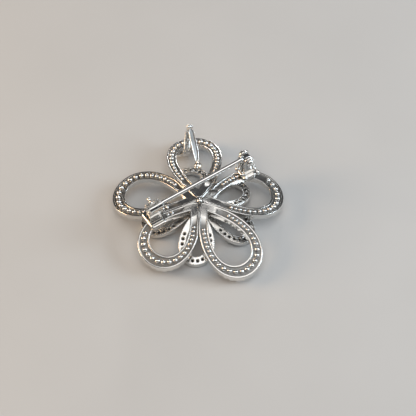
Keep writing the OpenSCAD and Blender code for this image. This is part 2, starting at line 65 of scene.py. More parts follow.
@dataclass(frozen=True)
class Metal:
    """Polished silver with shade painted into its colour: darker and duller where the mesh's painted shade
    attribute says so.
    """

    name: str
    tone: Tone = Tone.SILVER
    roughness: float = 0.19
    recess_roughness: float = 0.34
    painted_shade_share: float = 0.7
    scratch: float = 0.05

    def material(self) -> bpy.types.Material:
        """Builds the node material.

        Returns:
            A metal whose colour and roughness drift over a few millimetres, with fine polishing marks and
            painted shade in its hollows.
        """
        mat, tree, bsdf, coords = _started(self.name)
        bsdf.inputs["Metallic"].default_value = 1.0
        # Painted shade: points marked as sunken are mixed towards a near-black colour that stands in for the
        # shade and dark reflections in channels and holes; they also get rougher.
        painted_shade = tree.nodes.new("ShaderNodeAttribute")
        painted_shade.attribute_name = "painted_shade"
        share = _math(tree, "MULTIPLY", painted_shade.outputs["Fac"], self.painted_shade_share)
        drift = _noise(tree, coords, 260.0, 3.0)
        bright = _ramp(tree, drift, tuple(c * 0.93 for c in self.tone.value), self.tone.value)
        mix = tree.nodes.new("ShaderNodeMix")
        mix.data_type = "RGBA"
        tree.links.new(share, mix.inputs[0])
        tree.links.new(bright, mix.inputs[6])
        # The near-black colour of the painted shade.
        mix.inputs[7].default_value = (*Tone.PAINTED_SHADE.value, 1.0)
        tree.links.new(mix.outputs[2], bsdf.inputs["Base Color"])
        handling = _noise(tree, coords, 900.0, 2.0)
        base = _range(tree, handling, self.roughness * 0.7, self.roughness * 1.4)
        rough = _math(tree, "ADD", base, _math(tree, "MULTIPLY", share, self.recess_roughness))
        tree.links.new(rough, bsdf.inputs["Roughness"])
        marks = _noise(tree, coords, 6000.0, 2.0)
        bump = tree.nodes.new("ShaderNodeBump")
        bump.inputs["Strength"].default_value = self.scratch
        bump.inputs["Distance"].default_value = 0.00002
        tree.links.new(marks, bump.inputs["Height"])
        tree.links.new(bump.outputs["Normal"], bsdf.inputs["Normal"])
        return mat


@dataclass(frozen=True)
class Gem:
    """A clear cut stone."""

    name: str
    tint: tuple[float, float, float] = (0.96, 0.98, 1.0)
    ior: float = 2.2

    def material(self) -> bpy.types.Material:
        """Builds the node material.

        Returns:
            Clear glass whose surface is a little softer along its worn facets.
        """
        mat, tree, bsdf, coords = _started(self.name)
        bsdf.inputs["Transmission Weight"].default_value = 1.0
        bsdf.inputs["IOR"].default_value = self.ior
        wear = _noise(tree, coords, 1500.0, 2.0)
        colour = _ramp(tree, wear, tuple(c * 0.94 for c in self.tint), self.tint)
        tree.links.new(colour, bsdf.inputs["Base Color"])
        tree.links.new(_range(tree, wear, 0.0, 0.05), bsdf.inputs["Roughness"])
        return mat


def _started(name: str) -> tuple[bpy.types.Material, bpy.types.NodeTree, bpy.types.Node,
                                 bpy.types.NodeSocket]:
    """Starts a node material, and returns it with its tree, its shader and the object's coordinates."""
    mat = bpy.data.materials.new(name)
    mat.use_nodes = True
    tree = mat.node_tree
    coords = tree.nodes.new("ShaderNodeTexCoord").outputs["Object"]
    return mat, tree, tree.nodes["Principled BSDF"], coords


def _math(tree: bpy.types.NodeTree, operation: str, a: object, b: object) -> bpy.types.NodeSocket:
    """Adds a Math node whose inputs are sockets or numbers, and returns its output."""
    node = tree.nodes.new("ShaderNodeMath")
    node.operation = operation
    for socket, value in zip(node.inputs, (a, b)):
        if isinstance(value, (int, float)):
            socket.default_value = value
        else:
            tree.links.new(value, socket)
    return node.outputs[0]


def _noise(tree: bpy.types.NodeTree, coords: bpy.types.NodeSocket, scale: float,
           detail: float) -> bpy.types.NodeSocket:
    """Adds a Noise Texture at a scale in cycles per metre, and returns its strength."""
    node = tree.nodes.new("ShaderNodeTexNoise")
    node.inputs["Scale"].default_value = scale
    node.inputs["Detail"].default_value = detail
    tree.links.new(coords, node.inputs["Vector"])
    return node.outputs["Fac"]


def _ramp(tree: bpy.types.NodeTree, factor: bpy.types.NodeSocket, low: Sequence[float],
          high: Sequence[float]) -> bpy.types.NodeSocket:
    """Adds a Color Ramp from low to high over the middle of a noise, and returns its colour."""
    node = tree.nodes.new("ShaderNodeValToRGB")
    first, last = node.color_ramp.elements
    first.position, last.position = 0.3, 0.7
    first.color, last.color = (*low, 1.0), (*high, 1.0)
    tree.links.new(factor, node.inputs["Fac"])
    return node.outputs["Color"]


def _range(tree: bpy.types.NodeTree, value: bpy.types.NodeSocket, low: float,
           high: float) -> bpy.types.NodeSocket:
    """Maps a noise's middle range to low..high, and returns the result."""
    node = tree.nodes.new("ShaderNodeMapRange")
    node.inputs["From Min"].default_value = 0.3
    node.inputs["From Max"].default_value = 0.7
    node.inputs["To Min"].default_value = low
    node.inputs["To Max"].default_value = high
    tree.links.new(value, node.inputs["Value"])
    return node.outputs["Result"]


# ---------------------------------------------------------------- surfaces

def mesh_object(name: str, points: Array, faces: Array, material: bpy.types.Material,
                painted_shade: Array | None = None, smooth: bool = True) -> bpy.types.Object:
    """Makes a mesh object at the origin from points in millimetres.

    Args:
        name: The object's name.
        points: (n, 3) points in millimetres.
        faces: Faces as rows of point numbers, wound so that they face outwards.
        material: The finish.
        painted_shade: How sunken each point is, from 0 to 1, which sets the shade painted into its colour.
        smooth: Whether the faces are shaded smooth.

    Returns:
        The new object, linked into the scene.
    """
    mesh = bpy.data.meshes.new(name)
    mesh.from_pydata((points * MM).tolist(), [], faces.tolist())
    # The point attribute that sets the shade painted into the metal's colour.
    layer = mesh.attributes.new("painted_shade", "FLOAT", "POINT")
    values = np.zeros(len(points)) if painted_shade is None else painted_shade
    layer.data.foreach_set("value", values.astype(np.float32))
    mesh.update()
    mesh.polygons.foreach_set("use_smooth", [smooth] * len(mesh.polygons))
    mesh.materials.append(material)
    made = bpy.data.objects.new(name, mesh)
    bpy.context.scene.collection.objects.link(made)
    LOG.info("%s: %d faces", name, len(faces))
    return made


def grid_faces(rows: int, columns: int, close_rows: bool, close_columns: bool) -> Array:
    """Quads over a grid of rows x columns points, closed into a loop where asked."""
    r = np.arange(rows if close_rows else rows - 1)
    c = np.arange(columns if close_columns else columns - 1)
    i, j = (g.ravel() for g in np.meshgrid(r, c, indexing="ij"))
    i2, j2 = (i + 1) % rows, (j + 1) % columns
    return np.stack([i * columns + j, i2 * columns + j, i2 * columns + j2, i * columns + j2], 1)


def outward(points: Array, faces: Array) -> Array:
    """Turns all quads round if the closed surface that they make holds a negative volume.

    The volume is the sum over faces of the triple product of three of their corners, twice per quad.
    """
    a, b, c, d = (points[faces[:, k]] for k in range(4))
    volume = np.einsum("ij,ij->", a, np.cross(b, c)) + np.einsum("ij,ij->", a, np.cross(c, d))
    return faces if volume > 0 else faces[:, ::-1]


def full_turn(count: int) -> Array:
    """Evenly spaced angles once round, from 0."""
    return np.arange(count) * 2 * math.pi / count


def ease(x: Array) -> Array:
    """The smooth step 3x^2 - 2x^3 between 0 and 1."""
    c = np.clip(x, 0.0, 1.0)
    return c * c * (3.0 - 2.0 * c)


def drop(angle: Array, start: float, end: float, width: float, power: float) -> Array:
    """A drop-shaped outline.

    Along the petal it is start + (end - start)(1 - cos a)/2, and across it w/2 sin a |sin(a/2)|^power.
    """
    along = start + (end - start) * (1 - np.cos(angle)) / 2
    across = width / 2 * np.sin(angle) * np.abs(np.sin(angle / 2)) ** power
    return np.stack([along, across], -1)


def turned(points: Array, degrees: float) -> Array:
    """Points turned about +Z."""
    c, s = math.cos(math.radians(degrees)), math.sin(math.radians(degrees))
    return points @ np.array([[c, s, 0.0], [-s, c, 0.0], [0.0, 0.0, 1.0]])


def spheres(centres: Array, radii: Array, around: int = 14, up: int = 8) -> tuple[Array, Array]:
    """Many balls as one surface: rings at latitude b, of radius r cos b, at height r sin b.

    Args:
        centres: (n, 3) centres.
        radii: (n,) radii.
        around: Points in each ring.
        up: Rings from pole to pole.

    Returns:
        Points and quads.
    """
    latitude = np.linspace(-math.pi / 2, math.pi / 2, up + 1)
    longitude = full_turn(around)
    unit = np.stack([np.outer(np.cos(latitude), np.cos(longitude)),
                     np.outer(np.cos(latitude), np.sin(longitude)),
                     np.outer(np.sin(latitude), np.ones(around))], -1).reshape(-1, 3)
    points = centres[:, None, :] + radii[:, None, None] * unit[None]
    quads = grid_faces(up + 1, around, False, True)
    count = unit.shape[0]
    faces = (quads[None] + (np.arange(len(centres)) * count)[:, None, None]).reshape(-1, 4)
    points = points.reshape(-1, 3)
    return points, outward(points, faces)


def brilliants(centres: Array, frames: Array, widths: Array, depths: Array) -> tuple[Array, Array]:
    """Many cut stones as one surface of flat triangles.

    Each has an eight-sided table, a crown down to a sixteen-sided girdle, and a pavilion down to its culet:
    rings of sixteen points at set shares of the width and the depth, closed by the two end points.

    Args:
        centres: (n, 3) places of the culets.
        frames: (n, 3, 3) directions, whose third row points from the culet to the table.
        widths: (n,) diameters.
        depths: (n,) depths from culet to table.

    Returns:
        Points and triangles.
    """
    sides = 16
    ring = full_turn(sides)
    shrink = np.where(np.arange(sides) % 2 == 0, 1.0, math.cos(math.pi / 8))
    shape = [(0.02, 0.0, False), (0.5, 0.60, False), (0.5, 0.70, False),
             (0.40, 0.88, True), (0.29, 1.0, True)]
    rows = [np.stack([radius * np.cos(ring) * (shrink if cut else 1),
                      radius * np.sin(ring) * (shrink if cut else 1),
                      np.full(sides, height)], -1) for radius, height, cut in shape]
    unit = np.concatenate([np.concatenate(rows), [[0.0, 0.0, 0.0], [0.0, 0.0, 1.0]]])
    quads = grid_faces(len(shape), sides, False, True)
    last = len(shape) * sides
    step = np.arange(sides)
    low = np.stack([np.full(sides, last), (step + 1) % sides, step], 1)
    top = np.stack([np.full(sides, last + 1), last - sides + step, last - sides + (step + 1) % sides], 1)
    triangles = np.concatenate([quads[:, [0, 1, 2]], quads[:, [0, 2, 3]]])
    corners = np.concatenate([unit[triangles[:, k]] for k in range(3)], 1)
    volume = np.einsum("ij,ij->", corners[:, :3], np.cross(corners[:, 3:6], corners[:, 6:]))
    triangles = triangles if volume > 0 else triangles[:, ::-1]
    triangles = np.concatenate([triangles, low, top])
    sizes = np.stack([widths, widths, depths], -1)
    points = centres[:, None] + np.einsum("nik,nkj->nij", unit[None] * sizes[:, None], frames)
    faces = triangles[None] + (np.arange(len(centres)) * len(unit))[:, None, None]
    return points.reshape(-1, 3), faces.reshape(-1, 3)


def lean(slopes: Array, turn: float) -> Array:
    """Frames that look out of the front of a petal: their third row is the downward normal of its back.

    Args:
        slopes: (n,) rise of the back along the petal.
        turn: The petal's direction in degrees.

    Returns:
        (n, 3, 3) directions.
    """
    size = np.sqrt(1 + slopes ** 2)
    down = np.stack([slopes / size, 0 * slopes, -1 / size], -1)
    across = np.broadcast_to([0.0, 1.0, 0.0], down.shape)
    along = np.cross(across, down)
    return turned(np.stack([along, across, down], 1), turn)


def merged(obj: bpy.types.Object, distance: float = 1e-7) -> bpy.types.Object:
    """Merges an object's double points, which closes poles, and returns the object."""
    import bmesh

    mesh = bmesh.new()
    mesh.from_mesh(obj.data)
    bmesh.ops.remove_doubles(mesh, verts=mesh.verts, dist=distance)
    mesh.to_mesh(obj.data)
    mesh.free()
    return obj


def grains(name: str, edge: Array, hole: Array, inset: float, radius: float, place: Callable[[Array], Array],
           metal: bpy.types.Material) -> bpy.types.Object:
    """Sets two rows of small round grains, one beside each rim of a ribbon.

    Args:
        name: The piece's name.
        edge: (n, 2) outer edge beside each pair of grains.
        hole: (n, 2) edge of the opening there.
        inset: Distance of a grain's middle from its edge.
        radius: The grains' radius.
        place: Gives the points in space of (n, 2) points in the petal's plan.
        metal: The finish.

    Returns:
        The rows, as one piece on the flower.
    """
    way = (edge - hole) / np.linalg.norm(edge - hole, axis=1)[:, None]
    plan = np.concatenate([edge - way * inset, hole + way * inset])
    points, faces = spheres(place(plan), np.full(len(plan), radius), 8, 5)
    made = merged(mesh_object(name, points, faces, metal))
    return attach(made, "flower")


# ---------------------------------------------------------------- flower

@dataclass
class Flower:
    """The sizes that all petals share, in millimetres, and the line of the pin across them."""

    hub_z: float = 7.7
    hub_gap: float = 0.8
    seam: float = 0.12
    petal_len: float = 21.5
    petal_w: float = 17.1
    petal_drop: float = 4.7
    petal_t: float = 1.7
    band_tip: float = 3.1
    band_side: float = 2.5
    hole_start: float = 3.5
    outer_pow: float = 0.77
    hole_pow: float = 1.15
    drop_pow: float = 1.6
    turn_trim: tuple[float, ...] = (5.2, 3.0, -2.0, -2.0, -2.0)
    len_trim: tuple[float, ...] = (1.3, 0.6, -1.7, 0.5, -0.2)
    inner_turns: tuple[float, ...] = (102.5, 194.0, 265.5, 334.0, 396.0)
    pin_turn: float = 33.4
    pin_off: float = 2.15

    def outer_turn(self, i: int) -> float:
        """Direction of outer petal i, in degrees."""
        return 90.0 + 72.0 * i + self.turn_trim[i % 5]

    def inner_turn(self, i: int) -> float:
        """Direction of inner petal i, which goes on counting past a full turn."""
        return self.inner_turns[i % 5] + 360.0 * (i // 5)

    def in_sector(self, line: Array, left: float, right: float) -> Array:
        """Keeps an outline inside the half angles on its left and right, half a seam from each side."""
        half = np.radians(np.where(line[:, 1] >= 0, left, right))
        room = np.maximum(0.0, line[:, 0] * np.tan(half) - self.seam / 2 / np.cos(half))
        return np.stack([line[:, 0], np.sign(line[:, 1]) * np.minimum(np.abs(line[:, 1]), room)], -1)

    def back(self, s: Array) -> Array:
        """Height of the outer petals' back at s from the middle: it falls as s to the power drop_pow."""
        return self.hub_z - self.petal_drop * (np.maximum(s, 0.0) / self.petal_len) ** self.drop_pow


@dataclass
class Section:
    """A ribbon's cross-section, as points that keep their distance from the nearer edge.

    Each entry is (side, offset, z): side 0 measures from the opening's edge and side 1 from the outer edge.
    """

    side: Array
    offset: Array
    z: Array
    # How much shade is painted into the colour at each point; the points with any lie in a channel.
    painted_shade: Array
    front: Array
    cut: Array

    def sweep(self, hole: Array, edge: Array, carve: Array, top: Array, scallop: Array) -> Array:
        """Carries the section round a petal.

        Args:
            hole: (n, 2) edge of the opening.
            edge: (n, 2) outer edge.
            carve: (n,) depth of the channels, from 0 to 1.
            top: (n, 2) height of the back at the two edges.
            scallop: (n,) how far the front's edges are filed in between two stones, in millimetres.

        Returns:
            (n, m, 3) points, where a point lies offset from its edge along the line to the other.
        """
        width = np.linalg.norm(edge - hole, axis=1)[:, None]
        offset = self.offset[None] + self.cut[None] * scallop[:, None]
        share = np.where(self.side[None] == 0, offset / width, 1 - offset / width)
        plan = hole[:, None, :] + (edge - hole)[:, None, :] * share[..., None]
        flat = np.where(self.painted_shade[None] > 0, 1.0, 0.0)
        depth = self.z[None] * (1 - flat) + flat * (self.z[None] * carve[:, None]
                                                    + self.front[None] * (1 - carve[:, None]))
        height = top[:, :1] * (1 - share) + top[:, 1:] * share + depth
        return np.concatenate([plan, height[..., None]], -1)


def ribbon_section(thick: float, rim: float, back: float, front: float, lip: float = 0.07) -> Section:
    """Builds the section of a ribbon with a rounded rim on each side of its channels.

    Args:
        thick: Height of the ribbon.
        rim: Width of each rim.
        back: Depth of the channel in the back.
        front: Depth of the channel in the front.
        lip: Radius of the rims' rounded edges.

    Returns:
        The section, in order round the ribbon.
    """
    rows: list[tuple[float, ...]] = []

    def run(side: int, entries: Sequence[tuple[float, ...]]) -> None:
        """Adds (offset, z, painted shade, level without a channel, share of the scallop) rows of one side."""
        rows.extend((side, *entry) for entry in entries)

    half = [(0.0, -0.55 * thick, 0, 0, 0), (0.0, -2 * lip, 0, 0, 0), (0.0, -lip, 0, 0, 0),
            (lip * 0.3, -lip * 0.3, 0, 0, 0), (lip, 0.0, 0, 0, 0), (rim / 2, 0.02, 0, 0, 0),
            (rim - lip, 0.0, 0, 0, 0), (rim - lip * 0.3, -lip * 0.3, 0, 0, 0), (rim, -lip, 0.2, 0, 0),
            (rim + 0.02, -back * 0.8, 0.8, 0, 0), (rim + 0.1, -back, 1, 0, 0), (rim + 0.3, -back, 1, 0, 0)]
    run(0, half)
    run(1, half[::-1])
    level = -thick
    half = [(0.0, level + 0.4 * thick, 0, 0, 0), (0.0, level + 0.3 * thick, 0, 0, 0.2),
            (0.0, level + 0.15 * thick, 0, 0, 0.8), (0.0, level + lip, 0, 0, 1),
            (lip * 0.3, level + lip * 0.3, 0, 0, 1), (lip, level, 0, 0, 1), (rim - lip, level, 0, 0, 0.3),
            (rim - lip * 0.3, level + lip * 0.3, 0, 0, 0), (rim, level + lip, 0.2, level, 0),
            (rim + 0.02, level + front * 0.8, 0.8, level, 0), (rim + 0.1, level + front, 1, level, 0),
            (rim + 0.3, level + front, 1, level, 0)]
    run(1, half)
    run(0, half[::-1])
    table = np.array(rows)
    return Section(*(table[:, k] for k in range(6)))


@dataclass
class Row:
    """Pieces set side by side along a line of points."""

    angles: Array
    points: Array
    rooms: Array

    def places(self) -> Array:
        """The angles of as many pieces as fit, each taking its own room along the line."""
        steps = np.linalg.norm(np.diff(self.points, axis=0), axis=1) * 2 / (self.rooms[1:] + self.rooms[:-1])
        sums = np.concatenate([[0.0], np.cumsum(steps)])
        count = int(sums[-1])
        return np.interp(sums[-1] * (np.arange(count) + 0.5) / count, sums, self.angles)


@dataclass
class OuterPetal:
    """One outer petal: a ribbon bent to a drop, with beads in its back and stones in its front."""

    flower: Flower
    index: int
    names: tuple[str, ...] = ("top", "left", "low_left", "low_right", "right")
    rim: float = 0.42
    back_channel: float = 0.35
    front_channel: float = 0.6
    bead_hub: float = 0.88
    bead_tip: float = 1.3
    bead_gap: float = 0.16
    stone_gap: float = 0.09
    row_start: float = 60.0
    scallop: float = 0.16
    rings: int = 420
    hinge_area: tuple[float, ...] = (13.0, 17.4, -2.7, 1.6)
    catch_area: tuple[float, ...] = (-13.9, -9.6, -2.8, 2.8)

    @property
    def label(self) -> str:
        """The petal's name."""
        return self.names[self.index]

    @property
    def length(self) -> float:
        """The petal's length from the middle of the flower."""
        return self.flower.petal_len + self.flower.len_trim[self.index]

    def edge(self, angle: Array) -> Array:
        """The outer edge, kept on its own side of the seams to its neighbours."""
        f = self.flower
        line = drop(angle, f.hub_gap, self.length, f.petal_w, f.outer_pow)
        left = (f.outer_turn(self.index + 1) - f.outer_turn(self.index)) / 2
        right = (f.outer_turn(self.index) - f.outer_turn(self.index - 1)) / 2
        if self.index == 0:
            right = (f.outer_turn(5) - f.outer_turn(4)) / 2
        return f.in_sector(line, left, right)

    def hole(self, angle: Array) -> Array:
        """The edge of the opening."""
        f = self.flower
        return drop(angle, f.hole_start, self.length - f.band_tip, f.petal_w - 2 * f.band_side, f.hole_pow)

    def middle(self, angle: Array) -> Array:
        """The middle line of the ribbon."""
        return (self.edge(angle) + self.hole(angle)) / 2

    def size_at(self, angle: Array) -> Array:
        """Diameter of a bead or stone, which grows towards the tip."""
        near = math.cos(math.radians(self.row_start))
        return self.bead_hub + (self.bead_tip - self.bead_hub) * ease((near - np.cos(angle)) / (near + 1))

    def row(self, gap: float) -> Array:
        """The angles of a row of pieces with that gap."""
        angles = np.radians(np.arange(self.row_start, 360.0 - self.row_start + 1, 2.0))
        return Row(angles, self.middle(angles), self.size_at(angles) + gap).places()

    def placed(self, plan: Array, height: Array) -> Array:
        """Points of the petal's own plan, turned to their place in the flower."""
        return turned(np.concatenate([plan, height[:, None]], 1), self.flower.outer_turn(self.index))

    def slope(self, s: Array) -> Array:
        """The normal (s, z) of the back at s."""
        rise = (self.flower.back(s + 0.01) - self.flower.back(s - 0.01)) / 0.02
        return np.stack([-rise, np.ones_like(rise)], -1) / np.sqrt(1 + rise ** 2)[:, None]

    def ribbon(self, metal: bpy.types.Material) -> bpy.types.Object:
        """Builds the ribbon and lets it stand for its CAD node."""
        angle = np.arange(self.rings) * 2 * math.pi / self.rings
        edge, hole = self.edge(angle), self.hole(angle)
        section = ribbon_section(self.flower.petal_t, self.rim, self.back_channel, self.front_channel)
        carve = ease((edge[:, 0] - 3.0) / 2.5)
        top = np.stack([self.flower.back(hole[:, 0]), self.flower.back(edge[:, 0])], -1)
        points = section.sweep(hole, edge, carve, top, self.scallops(angle))
        # Painted shade: the back and front channels are darkened in colour where they are carved.
        painted_shade = np.broadcast_to(section.painted_shade, points.shape[:2]) * carve[:, None]
        flat = turned(points.reshape(-1, 3), self.flower.outer_turn(self.index))
        faces = outward(flat, grid_faces(self.rings, points.shape[1], True, True))
        made = mesh_object(f"petal_ribbon_{self.label}", flat, faces, metal, painted_shade.ravel())
        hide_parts(f"outer_petal_{self.label}")
        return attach(made, "flower")

    def scallops(self, angle: Array) -> Array:
        """Depth of the scallops: it is greatest halfway between two stones and falls to 0 beside each."""
        stones = self.row(self.stone_gap)
        turn = np.interp(angle % (2 * math.pi), stones, np.arange(len(stones)), left=-1, right=-1)
        return np.where(turn < 0, 0.0, self.scallop * np.abs(np.sin(math.pi * turn)) ** 3)

    def stones(self, gem: bpy.types.Material, metal: bpy.types.Material) -> None:
        """Builds the stones in the front channel, and the grains that hold them."""
        angle = self.row(self.stone_gap)
        plan, size = self.middle(angle), self.size_at(angle)
        rise = (self.flower.back(plan[:, 0] + 0.01) - self.flower.back(plan[:, 0] - 0.01)) / 0.02
        frames = lean(rise, self.flower.outer_turn(self.index))
        floor = self.flower.back(plan[:, 0]) - self.flower.petal_t + self.front_channel
        deep = np.full(len(angle), self.front_channel - 0.1)
        points, faces = brilliants(self.placed(plan, floor) + frames[:, 2] * 0.03, frames, size, deep)
        made = mesh_object(f"stone_row_{self.label}", points, faces, gem, smooth=False)
        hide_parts(f"outer_stones_{self.label}")
        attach(made, "flower")
        between = (angle[1:] + angle[:-1]) / 2
        grains(f"grains_{self.label}", self.edge(between), self.hole(between), self.rim + 0.12, 0.17,
               lambda plan: self.placed(plan, self.flower.back(plan[:, 0]) - self.flower.petal_t + 0.13),
               metal)

    def covered(self, spots: Array, reach: Array) -> Array:
        """Which spots lie under the hinge's or the catch's foot."""
        f = self.flower
        c, s = math.cos(math.radians(f.pin_turn)), math.sin(math.radians(f.pin_turn))
        along = spots[:, 0] * c + spots[:, 1] * s
        across = -spots[:, 0] * s + spots[:, 1] * c - f.pin_off
        hidden = np.zeros(len(spots), bool)
        for x0, x1, y0, y1 in (self.hinge_area, self.catch_area):
            hidden |= ((along > x0 - reach) & (along < x1 + reach)
                       & (across > y0 - reach) & (across < y1 + reach))
        return hidden

    def beads(self, metal: bpy.types.Material) -> bpy.types.Object:
        """Builds the row of beads in the back channel."""
        angle = self.row(self.bead_gap)
        plan, size = self.middle(angle), self.size_at(angle)
        floor = self.flower.back(plan[:, 0]) - self.back_channel
        normal = self.slope(plan[:, 0])
        lift = 0.18 * size + 0.03
        spot = self.placed(plan + np.stack([normal[:, 0] * lift, 0 * lift], -1), floor + normal[:, 1] * lift)
        seat = self.placed(plan, floor)
        free = ~self.covered(seat, size / 2 + 0.1)
        points, faces = spheres(spot[free], size[free] / 2, 18, 10)
        made = merged(mesh_object(f"bead_row_{self.label}", points, faces, metal))
        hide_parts(f"beads_{self.label}")
        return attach(made, "flower")


@dataclass
class InnerPetal:
    """One inner petal: a smaller ribbon with dimples behind its stones, whose painted shade stands in for
    open holes.
    """

    flower: Flower
    index: int
    length: float = 14.7
    width: float = 10.6
    thick: float = 1.35
    band: float = 2.0
    channel: float = 0.5
    flange: float = 0.6
    hole_start: float = 3.2
    stone: float = 1.15
    stone_gap: float = 0.09
    azure: float = 0.6
    row_start: float = 78.0
    rings: int = 460

    @property
    def hub_z(self) -> float:
        """Height of its back in the middle of the flower."""
        return self.flower.hub_z - self.flower.petal_t - self.flange - 0.25

    def back(self, s: Array) -> Array:
        """Height of its back at s: it falls as s to the power 1.3, down to the resting plane at the tip."""
        return self.hub_z - (self.hub_z - self.thick) * (np.maximum(s, 0.0) / self.length) ** 1.3

    def edge(self, angle: Array) -> Array:
        """The outer edge, kept on its own side of its neighbours."""
        f, i = self.flower, self.index
        left = (f.inner_turn(i + 1) - f.inner_turn(i)) / 2
        right = (f.inner_turn(i) - f.inner_turn(i - 1)) / 2
        return f.in_sector(drop(angle, f.hub_gap + 0.1, self.length, self.width, 0.7), left, right)

    def hole(self, angle: Array) -> Array:
        """The edge of the opening."""
        return drop(angle, self.hole_start, self.length - self.band, self.width - 2 * self.band, 1.0)

    def row(self) -> Array:
        """The angles of the stones and of the holes behind them."""
        angles = np.radians(np.arange(self.row_start, 360.0 - self.row_start + 1, 2.0))
        middle = (self.edge(angles) + self.hole(angles)) / 2
        return Row(angles, middle, np.full(len(angles), self.stone + self.stone_gap)).places()

    def placed(self, plan: Array, height: Array) -> Array:
        """Points of the petal's own plan, turned to their place in the flower."""
        return turned(np.concatenate([plan, height[:, None]], 1), self.flower.inner_turn(self.index))

    def stones(self, gem: bpy.types.Material, metal: bpy.types.Material) -> None:
        """Builds the stones in the front channel, the grains that hold them and the milgrain."""
        angle = self.row()
        plan = (self.edge(angle) + self.hole(angle)) / 2
        rise = (self.back(plan[:, 0] + 0.01) - self.back(plan[:, 0] - 0.01)) / 0.02
        frames = lean(rise, self.flower.inner_turn(self.index))
        floor = self.back(plan[:, 0]) - self.thick + self.channel
        size = np.full(len(angle), self.stone)
        points, faces = brilliants(self.placed(plan, floor) + frames[:, 2] * 0.03, frames, size,
                                   size * 0 + self.channel - 0.1)
        made = mesh_object(f"inner_stone_row_{self.index + 1}", points, faces, gem, smooth=False)
        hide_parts(f"inner_stones_{self.index + 1}")
        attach(made, "flower")
        between = (angle[1:] + angle[:-1]) / 2
        grains(f"inner_grains_{self.index + 1}", self.edge(between), self.hole(between), 0.36, 0.15,
               lambda spots: self.placed(spots, self.back(spots[:, 0]) - self.thick + 0.15), metal)
        along = np.radians(np.arange(62.0, 299.0, 4.2))
        grains(f"inner_milgrain_{self.index + 1}", self.edge(along), self.hole(along), 0.1, 0.13,
               lambda spots: self.placed(spots, self.back(spots[:, 0]) - 0.02), metal)

    def ribbon(self, metal: bpy.types.Material) -> bpy.types.Object:
        """Builds the ribbon, whose back is pressed in round each hole.

        The back is a grid across the band, and a point at distance d from a hole's centre sinks by the
        hole's depth times the smooth step of (r - d) over a short wall.
        """
        angle = np.arange(self.rings) * 2 * math.pi / self.rings
        angle = angle + 0.35 * np.sin(angle) * -1
        edge, hole = self.edge(angle), self.hole(angle)
        across = np.concatenate([[0, 0, 0.02, 0.06], np.linspace(0.12, 0.88, 22), [0.94, 0.98, 1, 1]])
        drop_in = np.concatenate([[-self.thick / 2, -0.08, -0.03, 0], np.zeros(22),
                                  [0, -0.03, -0.08, -self.thick / 2]])
        plan = hole[:, None] + (edge - hole)[:, None] * across[None, :, None]
        top = self.back(hole[:, 0])[:, None] * (1 - across) + self.back(edge[:, 0])[:, None] * across
        spots = (self.edge(self.row()) + self.hole(self.row())) / 2
        distance = np.linalg.norm(plan[:, :, None] - spots[None, None], axis=-1).min(-1)
        sunk = ease((self.azure / 2 + 0.12 - distance) / 0.12)
        back = np.concatenate([plan, (top + drop_in - 0.8 * sunk)[..., None]], -1)
        level = -self.thick
        front_x = np.array([1, 0.98, 0.94, 0.87, 0.84, 0.8, 0.5, 0.2, 0.16, 0.13, 0.06, 0.02, 0])
        deep = self.channel
        front_z = level + np.array([0.08, 0.03, 0, 0, deep * 0.8, deep, deep, deep, deep * 0.8,
                                    0, 0, 0.03, 0.08])
        carve = ease((edge[:, 0] - 4.0) / 2.0)[:, None]
        front_z = np.where(front_z > level + 0.1, level + (front_z - level) * carve, front_z)
        plan_f = hole[:, None] + (edge - hole)[:, None] * front_x[None, :, None]
        top_f = self.back(hole[:, 0])[:, None] * (1 - front_x) + self.back(edge[:, 0])[:, None] * front_x
        front = np.concatenate([plan_f, (top_f + front_z)[..., None]], -1)
        points = np.concatenate([back, front], 1)
        # Painted shade: the pressed-in seats of the holes and the front channel are darkened in colour, so
        # the seats read as open holes.
        painted_shade = np.concatenate([1.4 * sunk, (front_z > level + 0.1) * 0.6 * np.ones_like(top_f)], 1)
        flat = turned(points.reshape(-1, 3), self.flower.inner_turn(self.index))
        faces = outward(flat, grid_faces(self.rings, points.shape[1], True, True))
        made = mesh_object(f"inner_ribbon_{self.index + 1}", flat, faces, metal, painted_shade.ravel())
        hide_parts(f"inner_petal_{self.index + 1}")
        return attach(made, "flower")


# ---------------------------------------------------------------- turned and rounded pieces

Shape = tuple[Array, Array]


def joined(shapes: Sequence[Shape]) -> Shape:
    """Puts several surfaces of quads into one."""
    starts = np.cumsum([0] + [len(points) for points, _ in shapes])
    return (np.concatenate([points for points, _ in shapes]),
            np.concatenate([faces + start for (_, faces), start in zip(shapes, starts)]))


def lathe(profile: Array, around: int = 40) -> Shape:
    """Turns a profile about the X axis: (x, radius) becomes (x, radius cos a, radius sin a).

    Args:
        profile: (n, 2) points from one end to the other, with radius 0 at a closed end.
        around: Points in each ring.

    Returns:
        A closed surface.
    """
    angle = full_turn(around)
    points = np.stack([np.repeat(profile[:, :1], around, 1), np.outer(profile[:, 1], np.cos(angle)),
                       np.outer(profile[:, 1], np.sin(angle))], -1).reshape(-1, 3)
    return points, outward(points, grid_faces(len(profile), around, False, True))


def rounded_rod(start: float, end: float, radius: float, round_by: float) -> Array:
    """The (x, radius) profile of a rod with both ends rounded by a quarter circle."""
    turn = np.linspace(0, math.pi / 2, 6)
    rise = np.stack([start + round_by * (1 - np.sin(turn)), radius - round_by * (1 - np.cos(turn))], -1)[::-1]
    fall = np.stack([end - round_by * (1 - np.sin(turn)), radius - round_by * (1 - np.cos(turn))], -1)
    return np.concatenate([[[start, 0.0]], rise, fall, [[end, 0.0]]])


